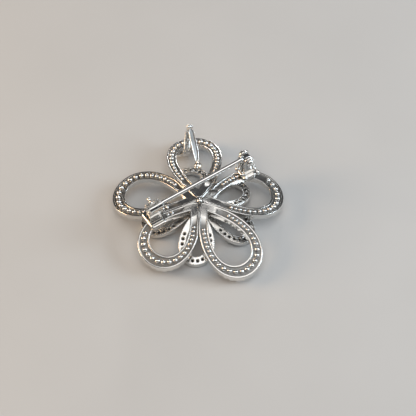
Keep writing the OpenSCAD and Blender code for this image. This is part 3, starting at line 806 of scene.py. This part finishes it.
def slab(outline: Array, low: Array | float, high: float, round_by: float) -> Shape:
    """A plate with a rounded upper edge over an outline that bulges outwards.

    Rings of the outline, moved in by round_by (1 - cos a) and down by round_by (1 - sin a), join a flat
    top to an underside that may follow another surface.

    Args:
        outline: (n, 2) points, counter-clockwise.
        low: Height of the underside, or a function's values at the rings of the underside, (3, n).
        high: Height of the top.
        round_by: Radius of the upper edge.

    Returns:
        A closed surface.
    """
    ahead, behind = np.roll(outline, -1, 0), np.roll(outline, 1, 0)
    way = ahead - behind
    normal = np.stack([way[:, 1], -way[:, 0]], -1) / np.linalg.norm(way, axis=1)[:, None]
    middle = outline.mean(0)
    turn = np.linspace(0, math.pi / 2, 6)
    floor = np.broadcast_to(low, (3, len(outline)))
    rings = [np.column_stack([middle + (outline - middle) * share, floor[k]])
             for k, share in enumerate((0.0, 0.5, 1.0))]
    rings += [np.column_stack([outline - normal * round_by * (1 - math.cos(t)),
                               np.full(len(outline), high - round_by * (1 - math.sin(t)))]) for t in turn]
    rings += [np.column_stack([middle + (outline - middle) * share, np.full(len(outline), high)])
              for share in (0.5, 0.0)]
    points = np.concatenate(rings)
    return points, outward(points, grid_faces(len(rings), len(outline), False, True))


def rounded_rectangle(x0: float, x1: float, y0: float, y1: float, radius: float) -> Array:
    """A rectangle with round corners, with points along its sides too."""
    turn = np.linspace(0, math.pi / 2, 5)
    corners = ((x1, y1, 0.0), (x0, y1, 0.5), (x0, y0, 1.0), (x1, y0, 1.5))
    arcs = []
    for k, (x, y, quarter) in enumerate(corners):
        centre = np.array([x - radius * np.sign(x - (x0 + x1) / 2), y - radius * np.sign(y - (y0 + y1) / 2)])
        at = turn + quarter * math.pi
        arcs.append(centre + radius * np.stack([np.cos(at), np.sin(at)], -1))
    closed = [np.concatenate([arcs[k], np.linspace(arcs[k][-1], arcs[(k + 1) % 4][0], 6)[1:-1]])
              for k in range(4)]
    return np.concatenate(closed)


def hoop(x0: float, x1: float, inner: float, outer: float, start: Callable[[Array], Array],
         end: Callable[[Array], Array], round_by: float = 0.07) -> Shape:
    """Part of a tube round the X axis, with rounded edges.

    A rounded rectangle in x and radius is carried from one angle to another, measured from straight up
    towards +Y, and shrinks to its middle at both ends.

    Args:
        x0: Near end.
        x1: Far end.
        inner: Inner radius.
        outer: Outer radius.
        start: Gives the angle where each point of the rectangle starts, from its radius.
        end: The same, for where it ends.
        round_by: Radius of the edges.

    Returns:
        A closed surface.
    """
    section = rounded_rectangle(x0, x1, inner, outer, round_by)
    middle = section.mean(0)
    first, last = start(section[:, 1]), end(section[:, 1])
    share = np.concatenate([[0, 0, 0.004, 0.012], np.linspace(0.03, 0.97, 48), [0.988, 0.996, 1, 1]])
    size = np.concatenate([[0, 0.82, 0.95, 1], np.ones(48), [1, 0.95, 0.82, 0]])
    ring = middle + (section - middle) * size[:, None, None]
    angle = first + (last - first) * share[:, None]
    points = np.stack([ring[..., 0], ring[..., 1] * np.sin(angle), ring[..., 1] * np.cos(angle)], -1)
    flat = points.reshape(-1, 3)
    return flat, outward(flat, grid_faces(len(share), len(section), False, True))


def spline(points: Sequence[Sequence[float]], count: int) -> Array:
    """A smooth line through points, as cubic pieces whose ends take the slope of their neighbours' chord."""
    p = np.array(points, float)
    p = np.concatenate([[2 * p[0] - p[1]], p, [2 * p[-1] - p[-2]]])
    t = np.linspace(0, len(p) - 3 - 1e-9, count)
    k, u = np.floor(t).astype(int), (t % 1.0)[:, None]
    a, b, c, d = p[k], p[k + 1], p[k + 2], p[k + 3]
    return 0.5 * (2 * b + (c - a) * u + (2 * a - 5 * b + 4 * c - d) * u ** 2
                  + (3 * b - a - 3 * c + d) * u ** 3)


def finished(name: str, shape: Shape, metal: bpy.types.Material, slot: str, body: str,
             *nodes: str, painted_shade: Array | None = None) -> bpy.types.Object:
    """Makes a closed piece that rides on a body and stands for CAD nodes.

    Args:
        name: The piece's name.
        shape: Its surface in millimetres.
        metal: The finish.
        slot: Not used.
        body: The body that it rides on.
        *nodes: The CAD nodes that it stands for.
        painted_shade: How sunken the first points are, which sets the shade painted into their colour; the
            rest get none.

    Returns:
        The piece.
    """
    sunk = np.zeros(len(shape[0]))
    if painted_shade is not None:
        sunk[:len(painted_shade)] = painted_shade
    made = merged(mesh_object(name, *shape, metal, sunk))
    if nodes:
        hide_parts(*nodes)
    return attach(made, body)


# ---------------------------------------------------------------- pin, hinge and catch

@dataclass
class PinLine:
    """The pin's own frame: X runs from the catch to the hinge."""

    flower: Flower
    z: float = 11.7
    drop: float = 0.6
    hinge_x: float = 15.2

    @property
    def pivot(self) -> float:
        """Height of the hinge's line."""
        return self.z - self.drop

    def place(self, points: Array) -> Array:
        """Points of the pin's frame, in space."""
        return turned(points + [0.0, self.flower.pin_off, 0.0], self.flower.pin_turn)

    def along(self, shape: Shape, height: float) -> Shape:
        """A surface made round the X axis, raised and put along the pin."""
        return self.place(shape[0] + [0.0, 0.0, height]), shape[1]

    def across(self, shape: Shape) -> Shape:
        """A surface made round the X axis, put along the hinge's line."""
        turned_points = shape[0][:, [1, 0, 2]] * [-1.0, 1.0, 1.0]
        return self.place(turned_points + [self.hinge_x, 0.0, self.pivot]), shape[1]

    def under(self, plan: Array) -> Array:
        """Height of the petals' backs under points of the pin's frame."""
        f = self.flower
        world = turned(np.column_stack([plan + [0.0, f.pin_off], np.zeros(len(plan))]), f.pin_turn)[:, :2]
        turns = np.radians([f.outer_turn(i) for i in range(5)])
        return f.back((world @ np.stack([np.cos(turns), np.sin(turns)])).max(1))

    def foot(self, x0: float, x1: float, y0: float, y1: float, corner: float, thick: float = 0.7,
             gap: float = 0.07) -> tuple[Shape, float]:
        """A foot with a flat rounded top, whose underside follows the petals.

        Returns:
            Its surface and the height of its top.
        """
        outline = rounded_rectangle(x0, x1, y0, y1, corner)
        middle = outline.mean(0)
        low = np.stack([self.under(middle + (outline - middle) * share) + gap for share in (0.0, 0.5, 1.0)])
        grid = np.stack(np.meshgrid(np.linspace(x0, x1, 5), np.linspace(y0, y1, 7)), -1).reshape(-1, 2)
        top = float(self.under(grid).max()) + gap + thick
        points, faces = slab(outline, low, top, 0.45)
        return (self.place(points), faces), top


@dataclass
class Hinge:
    """The bracket with two rounded ears, and the rivet with its domed heads."""

    line: PinLine
    foot_size: float = 4.4
    out: float = 2.7
    ear_gap: float = 1.5
    ear: float = 0.85
    ear_r: float = 1.55
    head_r: float = 1.05
    head_h: float = 0.8
    lobe_r: float = 0.68

    def build(self, metal: bpy.types.Material) -> None:
        """Builds the bracket, with round lobes along its foot, and the rivet."""
        x, edge = self.line.hinge_x, self.ear_gap / 2 + self.ear
        foot, top = self.line.foot(x - self.foot_size / 2, x + self.foot_size / 2, -self.out, edge, 1.5)
        turn = np.linspace(0, math.pi, 25)
        arch = np.stack([self.ear_r * np.cos(turn), self.line.pivot + self.ear_r * np.sin(turn)], -1)
        side = np.linspace(self.line.pivot, top - 0.15, 6)[1:]
        base = np.linspace(-self.ear_r, self.ear_r, 8)[1:-1]
        outline = np.concatenate([arch, np.stack([0 * side - self.ear_r, side], -1),
                                  np.stack([base, 0 * base + top - 0.15], -1),
                                  np.stack([0 * side + self.ear_r, side], -1)[::-1]])
        shapes = [foot]
        for sign in (-1, 1):
            middle = slab(outline, 0.0, self.ear / 2, 0.38)
            half = np.column_stack([middle[0][:, 0], middle[0][:, 2], middle[0][:, 1]])
            start = sign * (self.ear_gap + self.ear) / 2
            for face in (-1, 1):
                placed = half * [1.0, face, 1.0] + [x, start, 0.0]
                shapes.append((self.line.place(placed), outward(placed, middle[1])))
        half = self.foot_size / 2 - self.lobe_r * 0.7
        spots = np.array([(x + along, across, top - 0.25) for along in (-half, half)
                          for across in (-self.out + 0.45, -0.9, edge - 0.45)])
        lobes, faces = spheres(spots, np.full(len(spots), self.lobe_r), 24, 14)
        shapes.append((self.line.place(lobes), faces))
        finished("hinge_ears", joined(shapes), metal, "findings", "flower", "hinge_bracket")
        turn = np.linspace(0, math.pi / 2, 9)
        rise = np.stack([edge + 0.02 + (self.head_h - 0.02) * np.sin(turn), self.head_r * np.cos(turn)], -1)
        profile = np.concatenate([rise[::-1] * [-1, 1], [[-edge - 0.02, 0.4], [edge + 0.02, 0.4]], rise])
        finished("hinge_rivet_domed", self.line.across(lathe(profile)), metal, "findings", "flower",
                 "hinge_rivet")


@dataclass
class PinStem:
    """The pin wire: a long taper, a straight length, a flared neck and a round knuckle."""

    line: PinLine
    tip: float = -14.1
    straight: float = -9.3
    neck: float = 13.4
    end: float = 14.4
    radius: float = 0.525
    neck_r: float = 0.7
    flare: float = 0.8
    knuckle_half: float = 0.67
    knuckle_r: float = 1.24

    def build(self, metal: bpy.types.Material) -> None:
        """Builds the wire, whose radius grows from the point as a quarter circle does, softened."""
        x = np.linspace(0, 1, 30)
        taper = np.stack([self.tip + (self.straight - self.tip) * x,
                          self.radius * (0.1 * np.sqrt(x) + 0.9 * x ** 0.9)], -1)
        run = np.stack([np.linspace(self.straight, self.neck - self.flare, 12)[1:],
                        np.full(11, self.radius)], -1)
        swell = np.linspace(0, 1, 10)
        flare = np.stack([self.neck - self.flare + self.flare * swell,
                          self.radius + (self.neck_r - self.radius) * ease(swell)], -1)[1:]
        profile = np.concatenate([[[self.tip, 0.0]], taper[1:], run, flare,
                                  [[self.end, self.neck_r], [self.end, 0.0]]])
        wire = self.line.along(lathe(profile), self.line.z)
        rod = rounded_rod(-self.knuckle_half, self.knuckle_half, self.knuckle_r, 0.2)
        knuckle = self.line.across(lathe(rod))
        finished("pin_wire_drawn", joined([wire, knuckle]), metal, "pin_wire", "pin", "pin_stem")


@dataclass
class Catch:
    """The catch: a slotted barrel on a saddled foot, and a roller that a small lever turns."""

    line: PinLine
    near: float = -9.6
    length: float = 3.8
    pad: float = 5.6
    lip: float = 0.5
    barrel_r: float = 1.5
    bore_r: float = 1.05
    slot: float = 1.3
    roller_r: float = 0.99
    roller_bore_r: float = 0.67
    lever_r: float = 0.4
    lever_end: float = 2.6
    lever_turn: float = 95.0
    lever_ball_r: float = 0.575
    saddle_half: float = 0.9
    saddle_corner: float = 0.12

    def mouth(self, radius: Array) -> Array:
        """Angle from straight up to the slot's straight wall, at a radius."""
        return np.arcsin(np.clip(self.slot / 2 / radius, -1, 1))

    def far_mouth(self, radius: Array) -> Array:
        """The same wall on the slot's other side, once round."""
        return 2 * math.pi - self.mouth(radius)

    def window(self, radius: Array) -> Array:
        """Angle to the lower edge of the lever's window, 0.7 mm below the pin's line."""
        return np.arccos(np.clip(-0.7 / radius, -1, 1))

    def build(self, metal: bpy.types.Material) -> None:
        """Builds the foot with its saddle, the barrel, and the roller with its lever."""
        far, middle = self.near - self.length, self.near - self.length / 2
        foot, top = self.line.foot(far - self.lip, self.near, -self.pad / 2, self.pad / 2, 0.8)
        seat = rounded_rectangle(far, self.near, -self.saddle_half, self.saddle_half, self.saddle_corner)
        saddle = slab(seat, top - 0.1, self.line.z - self.barrel_r - 0.02, 0.02)
        finished("catch_foot", joined([foot, (self.line.place(saddle[0]), saddle[1])]), metal, "findings",
                 "flower", "catch_base")
        shapes = [hoop(far, middle - 0.5, self.bore_r, self.barrel_r, self.mouth, self.far_mouth),
                  hoop(middle + 0.5, self.near, self.bore_r, self.barrel_r, self.mouth, self.far_mouth),
                  hoop(middle - 0.56, middle + 0.56, self.bore_r, self.barrel_r, self.window,
                       self.far_mouth, 0.02)]
        barrel = self.line.along(joined(shapes), self.line.z)
        cradle = slab(seat, self.line.z - self.barrel_r, self.line.z - self.barrel_r + 0.4, 0.05)
        finished("catch_barrel", joined([barrel, (self.line.place(cradle[0]), cradle[1])]), metal, "findings",
                 "flower", "catch_body")
        roller = hoop(far + 0.1, self.near - 0.1, self.roller_bore_r, self.roller_r, self.mouth,
                      self.far_mouth)
        neck = lathe(np.array([[0.85, 0.0], [0.85, self.lever_r],
                               [self.lever_end, self.lever_r * 0.85], [self.lever_end, 0.0]]), 24)
        ball, ball_faces = spheres(np.array([[self.lever_end, 0.0, 0.0]]),
                                   np.array([self.lever_ball_r]), 24, 14)
        lever, faces = joined([neck, (ball, ball_faces)])
        a = math.radians(self.lever_turn)
        standing = np.stack([lever[:, 1] + middle,
                             lever[:, 0] * math.sin(a) + lever[:, 2] * math.cos(a),
                             lever[:, 0] * math.cos(a) - lever[:, 2] * math.sin(a)], -1)
        shape = joined([roller, (standing, outward(standing, faces))])
        finished("catch_roller_turned", self.line.along(shape, self.line.z), metal, "findings", "roller",
                 "catch_roller")


# ---------------------------------------------------------------- bail

@dataclass
class Bail:
    """The bail: a leaf that hooks round the top petal's ribbon, hinged to an arm that ends in a ball."""

    flower: Flower
    swing_out: float = 17.5
    at: float = 163.0
    tilt: float = 18.0
    width: float = 2.3
    top_width: float = 1.5
    skew: float = 1.1
    height: float = 6.1
    thick: float = 0.5
    arm_width: float = 1.6
    ball_r: float = 1.1
    apex_x: float = 0.9
    stone: float = 1.0
    azure: float = 0.5
    seats: tuple[int, ...] = (6, 7, 8)
    stone_deep: float = 0.45
    pin_r: float = 0.22

    def place(self, points: Array) -> Array:
        """Points of the bail's frame, in space: tilted about X, turned about Z, at the top petal's ribbon."""
        petal = OuterPetal(self.flower, 0)
        at = petal.middle(np.array([math.radians(self.at)]))
        origin = petal.placed(at, self.flower.back(at[:, 0]) - self.flower.petal_t / 2)[0]
        c, s = math.cos(math.radians(self.tilt)), math.sin(math.radians(self.tilt))
        leant = points @ np.array([[1, 0, 0], [0, c, s], [0, -s, c]])
        return turned(leant, self.flower.outer_turn(0) + self.swing_out) + origin

    def aside(self, z: Array) -> Array:
        """How far the leaf's middle lies to one side at a height, which falls to nothing at its hinge."""
        return self.skew * (1 - np.maximum(z, 0.0) / self.height)

    def strap(self, line: Array, widths: Array, section: Array, middles: Array,
              holes: Array) -> tuple[Array, Array]:
        """Carries a section along a line in the XZ plane.

        The section's first number is a share of the half width, across, and its second one is a height in
        millimetres on the left of the line. The left face sinks nearly through the strap at each hole.

        Args:
            line: (n, 2) points.
            widths: (n,) widths.
            section: (m, 2) section.
            middles: (n,) how far the strap lies to one side.
            holes: (k, 3) middles of the holes.

        Returns:
            The (n, m, 3) grid, and (n, m) how sunken each point is.
        """
        way = np.gradient(line, axis=0)
        way /= np.linalg.norm(way, axis=1)[:, None]
        left = np.stack([-way[:, 1], 0 * way[:, 0], way[:, 0]], -1)
        base = np.stack([line[:, 0], middles, line[:, 1]], -1)[:, None] + np.zeros((1, len(section), 3))
        base[..., 1] += section[None, :, 0] * widths[:, None] / 2
        height = np.broadcast_to(section[None, :, 1], base.shape[:2])
        distance = np.linalg.norm(base[:, :, None] - holes[None, None], axis=-1).min(-1, initial=9.0)
        sunk = ease((self.azure / 2 + 0.05 - distance) / 0.09) * (section[None, :, 1] > 0)
        height = height * (1 - sunk) - 0.7 * self.thick / 2 * sunk
        return base + left[:, None] * height[..., None], sunk

    def section(self, hollow: float, rim: float) -> Array:
        """The strap's section: flat below, round at its sides and hollowed between two rims above.

        Args:
            hollow: Depth of the hollow.
            rim: Width of each rim, as a share of the half width.

        Returns:
            (m, 2) points.
        """
        half = self.thick / 2
        inside = np.linspace(-0.92, 0.92, 33)
        floor = half - hollow * ease((1 - rim - np.abs(inside)) / 0.12)
        above = np.concatenate([[[-1, 0], [-1, 0.6 * half], [-0.97, 0.86 * half]],
                                np.stack([inside, floor], -1),
                                [[0.97, 0.86 * half], [1, 0.6 * half], [1, 0]]])
        below = np.stack([np.array([1, 0.97, 0.9, 0.5, 0, -0.5, -0.9, -0.97, -1]),
                          -half * np.array([0.6, 0.86, 1, 1, 1, 1, 1, 0.86, 0.6])], -1)
        return np.concatenate([above, below])

    def closed(self, grid: Array, sunk: Array) -> tuple[Shape, Array]:
        """Closes a strap's two ends at their middles, and puts it in space."""
        ends = np.broadcast_to(grid[[0, -1]].mean(1)[:, None], (2, *grid.shape[1:]))
        whole = np.concatenate([ends[:1], grid, ends[1:]])
        placed = self.place(whole.reshape(-1, 3))
        faces = outward(placed, grid_faces(whole.shape[0], whole.shape[1], False, True))
        return (placed, faces), np.concatenate([sunk[:1] * 0, sunk, sunk[:1] * 0]).ravel()

    def rod(self, profile: Array, start: Array, way: Array, aside: float, around: int = 28) -> Shape:
        """A turned piece that runs from a point of the XZ plane along a direction in it."""
        shape, faces = lathe(profile, around)
        points = np.stack([start[0] + shape[:, 0] * way[0] - shape[:, 2] * way[1], shape[:, 1] + aside,
                           start[1] + shape[:, 0] * way[1] + shape[:, 2] * way[0]], -1)
        placed = self.place(points)
        return placed, outward(placed, faces)

    def knuckle(self, y0: float, y1: float, radius: float = 0.55) -> Shape:
        """A rounded rod across the top of the bail."""
        points, faces = lathe(rounded_rod(y0, y1, radius, min(0.1, (y1 - y0) / 3)), 32)
        placed = self.place(points[:, [1, 0, 2]] + [self.apex_x, 0.0, self.height])
        return placed, outward(placed, faces)

    def build(self, metal: bpy.types.Material, fittings: bpy.types.Material, gem: bpy.types.Material) -> None:
        """Builds the leaf, its stones, the hinge pin and the arm."""
        apex = np.array([self.apex_x, self.height])
        path = np.array([(0.3, -1.9), (-0.8, -1.8), (-2.05, -1.5), (-2.9, -0.7), (-3.15, 0.5),
                         (-2.8, 1.65), (-2.0, 2.5), (-1.15, 3.2), (-0.35, 4.15),
                         tuple(apex + [-0.4, -0.75])])
        seats = np.array(self.seats)
        middles, chords = (path[seats] + path[seats + 1]) / 2, path[seats + 1] - path[seats]
        spots = np.stack([middles[:, 0], self.aside(middles[:, 1]), middles[:, 1]], -1)
        line = spline(path, 240)
        widths = self.width + (self.top_width - self.width) * np.clip(line[:, 1] / self.height, 0, 1)
        ends = np.minimum(np.arange(240), 239 - np.arange(240))
        widths = widths * np.sqrt(np.clip((ends + 1.6) / 10, 0, 1))
        grid = self.strap(line, widths, self.section(0.1, 0.2), self.aside(line[:, 1]), spots)
        leaf, sunk = self.closed(*grid)
        way = (path[-1] - apex) / np.linalg.norm(path[-1] - apex)
        tongues = [self.rod(rounded_rod(0.3, 1.0, 0.19, 0.1), apex, way, y, 16) for y in (-0.57, 0.57)]
        shape = joined([leaf, *tongues, self.knuckle(-0.75, -0.4), self.knuckle(0.4, 0.75)])
        # Painted shade: the dimples round the stones are darkened in colour as open holes.
        finished("bail_leaf_strap", shape, metal, "silver", "bail", "bail_leaf", painted_shade=sunk)
        chords /= np.linalg.norm(chords, axis=1)[:, None]
        out = np.stack([chords[:, 1], 0 * chords[:, 0], -chords[:, 0]], -1)
        up = np.stack([chords[:, 0], 0 * chords[:, 0], chords[:, 1]], -1)
        frames = np.stack([up, np.cross(out, up), out], 1)
        spun = (self.place(frames.reshape(-1, 3)) - self.place(np.zeros((1, 3)))).reshape(-1, 3, 3)
        points, faces = brilliants(self.place(spots + out * (self.thick / 2 + 0.03)), spun,
                                   np.full(len(seats), self.stone), np.full(len(seats), self.stone_deep))
        gems = mesh_object("bail_stone_row", points, faces, gem, smooth=False)
        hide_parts("bail_stones")
        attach(gems, "bail")
        finished("bail_hinge_pin", self.knuckle(-0.8, 0.8, self.pin_r), fittings, "findings", "bail",
                 "bail_pin")
        self.arm(apex, metal)

    def arm(self, apex: Array, metal: bpy.types.Material) -> None:
        """Builds the arm: a hollow-backed strap, its knuckle, a collar and the ball."""
        path = np.array([tuple(apex + [-0.37, 0.1]), (-1.1, 5.35), (-3.3, 4.3), (-5.2, 3.2), (-7.2, 1.9)])
        line = spline(path, 90)
        step = np.arange(90)
        widths = self.arm_width * (1 - 0.3 * ease((step - 62) / 24))
        widths = widths * np.sqrt(np.clip((89 - step + 1.6) / 6, 0, 1))
        widths = np.where(step < 16, 0.68 + (widths - 0.68) * ease((step - 8) / 7), widths)
        section = self.section(0.28, 0.24)
        grid, _ = self.strap(line, widths, section * [1.0, -1.0], 0 * step, np.zeros((0, 3)))
        # Painted shade: the hollow between the arm's two rims is darkened in colour.
        hollow_shade = np.broadcast_to(ease((0.2 - section[:, 1]) / 0.1) * (section[:, 1] > -0.1), grid.shape[:2])
        strap, sunk = self.closed(grid, hollow_shade * (np.abs(section[:, 0]) < 0.8))
        way = (path[-1] - path[-2]) / np.linalg.norm(path[-1] - path[-2])
        reach = np.linspace(0, 1, 8)
        collar = np.stack([-0.4 + 0.9 * reach, 0.33 + 0.05 * np.cos(reach * 2 * math.pi)], -1)
        neck = self.rod(np.concatenate([[[-0.4, 0.0]], collar, [[0.5, 0.0]]]), path[-1], way, 0.0)
        angle = np.linspace(0, math.pi, 25)
        ball = np.stack([self.ball_r + 0.1 - self.ball_r * np.cos(angle), self.ball_r * np.sin(angle)], -1)
        shape = joined([strap, neck, self.rod(ball, path[-1], way, 0.0, 40), self.knuckle(-0.35, 0.35)])
        finished("bail_arm_strap", shape, metal, "silver", "bail_clip", "bail_arm", painted_shade=sunk)


# ---------------------------------------------------------------- middle

@dataclass
class Centre:
    """The middle of the flower: the post, the flange, the basket with six claws, and its stone."""

    flower: Flower
    stone_d: float = 4.6
    post_r: float = 0.6
    flange_r: float = 2.4
    stone_z: float = 0.3
    seam_l: float = 4.2
    seam_r: float = 0.2

    def build(self, metal: bpy.types.Material, gem: bpy.types.Material) -> None:
        """Builds the middle, standing on the sizes of the CAD nodes."""
        low, high = (np.array(corner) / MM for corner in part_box("hub_post"))
        basket_high = np.array(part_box("centre_basket")[1]) / MM
        inner = InnerPetal(self.flower, 0)
        flange = inner.hub_z + 0.03
        post = lathe(rounded_rod(low[2], high[2], self.post_r, 0.12), 32)
        plate = lathe(rounded_rod(flange, flange + inner.flange, self.flange_r, 0.15), 48)
        core, faces = joined([post, plate])
        finished("hub_core", (core[:, [1, 2, 0]], faces), metal, "silver", "flower", "hub_post")
        radius = self.stone_d / 2 + 0.3
        cup = lathe(rounded_rod(basket_high[2] - 1.3, basket_high[2], radius, 0.12), 64)
        claw = rounded_rod(self.stone_z + 0.1, basket_high[2] - 0.15, 0.28, 0.27)
        claws = []
        for k in range(6):
            points, faces = lathe(claw, 20)
            a = math.radians(30 + 60 * k)
            claws.append((points + [0.0, radius * math.cos(a), radius * math.sin(a)], faces))
        points, faces = joined([cup, *claws])
        finished("centre_claws", (points[:, [1, 2, 0]], faces), metal, "silver", "flower", "centre_basket")
        self.seams(metal)
        stone_low, stone_high = (np.array(corner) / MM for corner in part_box("centre_stone"))
        frame_down = np.array([[[1.0, 0.0, 0.0], [0.0, -1.0, 0.0], [0.0, 0.0, -1.0]]])
        points, faces = brilliants(np.array([[0.0, 0.0, stone_high[2]]]), frame_down,
                                   np.array([self.stone_d - 0.04]),
                                   np.array([stone_high[2] - stone_low[2]]))
        made = mesh_object("centre_brilliant", points, faces, gem, smooth=False)
        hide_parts("centre_stone")
        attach(made, "flower")

    def seams(self, metal: bpy.types.Material) -> None:
        """Lays the solder that stands up between the outer petals in the middle.

        Each seam is a thread of radius r sin(pi u)^0.5 over its length u, on the line between two petals.
        """
        f, threads = self.flower, []
        share = np.linspace(0.0, 1.0, 30)
        for i in range(5):
            along = 0.5 + self.seam_l * share
            profile = np.stack([along, self.seam_r * np.sqrt(np.clip(np.sin(math.pi * share), 0, 1))], -1)
            points, faces = lathe(profile, 12)
            lift = f.back(points[:, 0]) - f.hub_z
            points = points + np.stack([0 * lift, 0 * lift, lift + f.hub_z - 0.04], -1)
            threads.append((turned(points, (f.outer_turn(i) + f.outer_turn(i + 1)) / 2), faces))
        middle, faces = spheres(np.array([[0.0, 0.0, f.hub_z - 0.25]]), np.array([0.75]), 28, 16)
        finished("hub_solder", joined([*threads, (middle, faces)]), metal, "silver", "flower")


# ---------------------------------------------------------------- studio

@dataclass
class Studio:
    """A pale floor, soft lamps and the camera, with sizes in metres."""

    distance: float = 0.40
    elevation: float = 56.0
    sensor: float = 36.0
    field: float = 0.10146
    aside: float = 0.00207
    below: float = 0.00188
    floor_dark: tuple[float, float, float] = (0.52, 0.515, 0.505)
    floor_light: tuple[float, float, float] = (0.54, 0.535, 0.525)
    floor_radius_mm: float = 1500.0

    def camera(self, flower: Flower) -> None:
        """Places a far camera that looks a little right of and below the flower's middle."""
        data = bpy.data.cameras.new("camera")
        data.sensor_width = self.sensor
        data.lens = self.sensor * self.distance / self.field
        data.clip_end = 5.0
        made = bpy.data.objects.new("camera", data)
        e = math.radians(self.elevation)
        up = Vector((0.0, math.sin(e), math.cos(e)))
        target = Vector((self.aside, 0.0, flower.hub_z * MM)) - up * self.below
        made.location = target + Vector((0.0, -math.cos(e), math.sin(e))) * self.distance
        made.rotation_euler = (target - made.location).to_track_quat("-Z", "Y").to_euler()
        bpy.context.scene.collection.objects.link(made)
        bpy.context.scene.camera = made

    def lamp(self, name: str, place: Sequence[float], size: float, power: float,
             colour: Sequence[float]) -> None:
        """Adds a square soft lamp that looks at the flower."""
        data = bpy.data.lights.new(name, "AREA")
        data.size = size
        data.energy = power
        data.color = colour
        made = bpy.data.objects.new(name, data)
        made.location = place
        made.rotation_euler = (-Vector(place)).to_track_quat("-Z", "Y").to_euler()
        bpy.context.scene.collection.objects.link(made)

    def floor(self) -> None:
        """Lays the floor, a plain pale disc."""
        ring = full_turn(64)
        points = np.stack([np.cos(ring), np.sin(ring), 0 * ring], -1) * self.floor_radius_mm
        mat, tree, bsdf, coords = _started("floor")
        grain = _noise(tree, coords, 30.0, 2.0)
        shade = _ramp(tree, grain, self.floor_dark, self.floor_light)
        tree.links.new(shade, bsdf.inputs["Base Color"])
        bsdf.inputs["Roughness"].default_value = 0.6
        made = mesh_object("floor", points, np.arange(64)[None], mat)
        made.location.z = -0.00002

    def world(self) -> None:
        """Sets an even world that lights softly, and that reflections see darker."""
        world = bpy.data.worlds.new("studio")
        bpy.context.scene.world = world
        world.use_nodes = True
        tree = world.node_tree
        back = tree.nodes["Background"]
        back.inputs["Color"].default_value = (0.92, 0.94, 1.0, 1.0)
        path = tree.nodes.new("ShaderNodeLightPath")
        strength = _math(tree, "SUBTRACT", 0.24, _math(tree, "MULTIPLY", path.outputs["Is Glossy Ray"], 0.18))
        tree.links.new(strength, back.inputs["Strength"])


def main() -> None:
    """Builds the sub-assemblies in order and reports each piece."""
    flower = Flower()
    silver = Metal("silver").material()
    bead = Metal("bead_silver", Tone.BRIGHT, roughness=0.09).material()
    wire = Metal("pin_wire", Tone.BRIGHT, roughness=0.08).material()
    fittings = Metal("findings", roughness=0.12).material()
    stones = Gem("pave_stones").material()
    centre = Gem("centre_stone", ior=2.0).material()
    for i in range(5):
        outer = OuterPetal(flower, i)
        outer.ribbon(silver)
        outer.beads(bead)
        outer.stones(stones, bead)
        inner = InnerPetal(flower, i)
        inner.ribbon(silver)
        inner.stones(stones, bead)
    line = PinLine(flower)
    Centre(flower).build(silver, centre)
    Hinge(line).build(fittings)
    PinStem(line).build(wire)
    Catch(line).build(fittings)
    Bail(flower).build(silver, fittings, stones)
    studio = Studio()
    studio.camera(flower)
    studio.floor()
    studio.world()
    studio.lamp("overhead", (0.05, -0.10, 0.46), 0.56, 1.3, (1.0, 0.99, 0.97))
    studio.lamp("warm_left", (-0.42, 0.02, 0.17), 0.20, 1.4, (1.0, 0.72, 0.45))
    studio.lamp("cool_right", (0.42, 0.0, 0.2), 0.20, 1.2, (0.78, 0.9, 1.0))
    studio.lamp("far_edge", (0.05, 0.45, 0.12), 0.06, 0.25, (1.0, 1.0, 1.0))
    bpy.context.scene.view_settings.view_transform = "Standard"


if __name__ == "__main__":
    logging.basicConfig(level=logging.INFO)
    main()
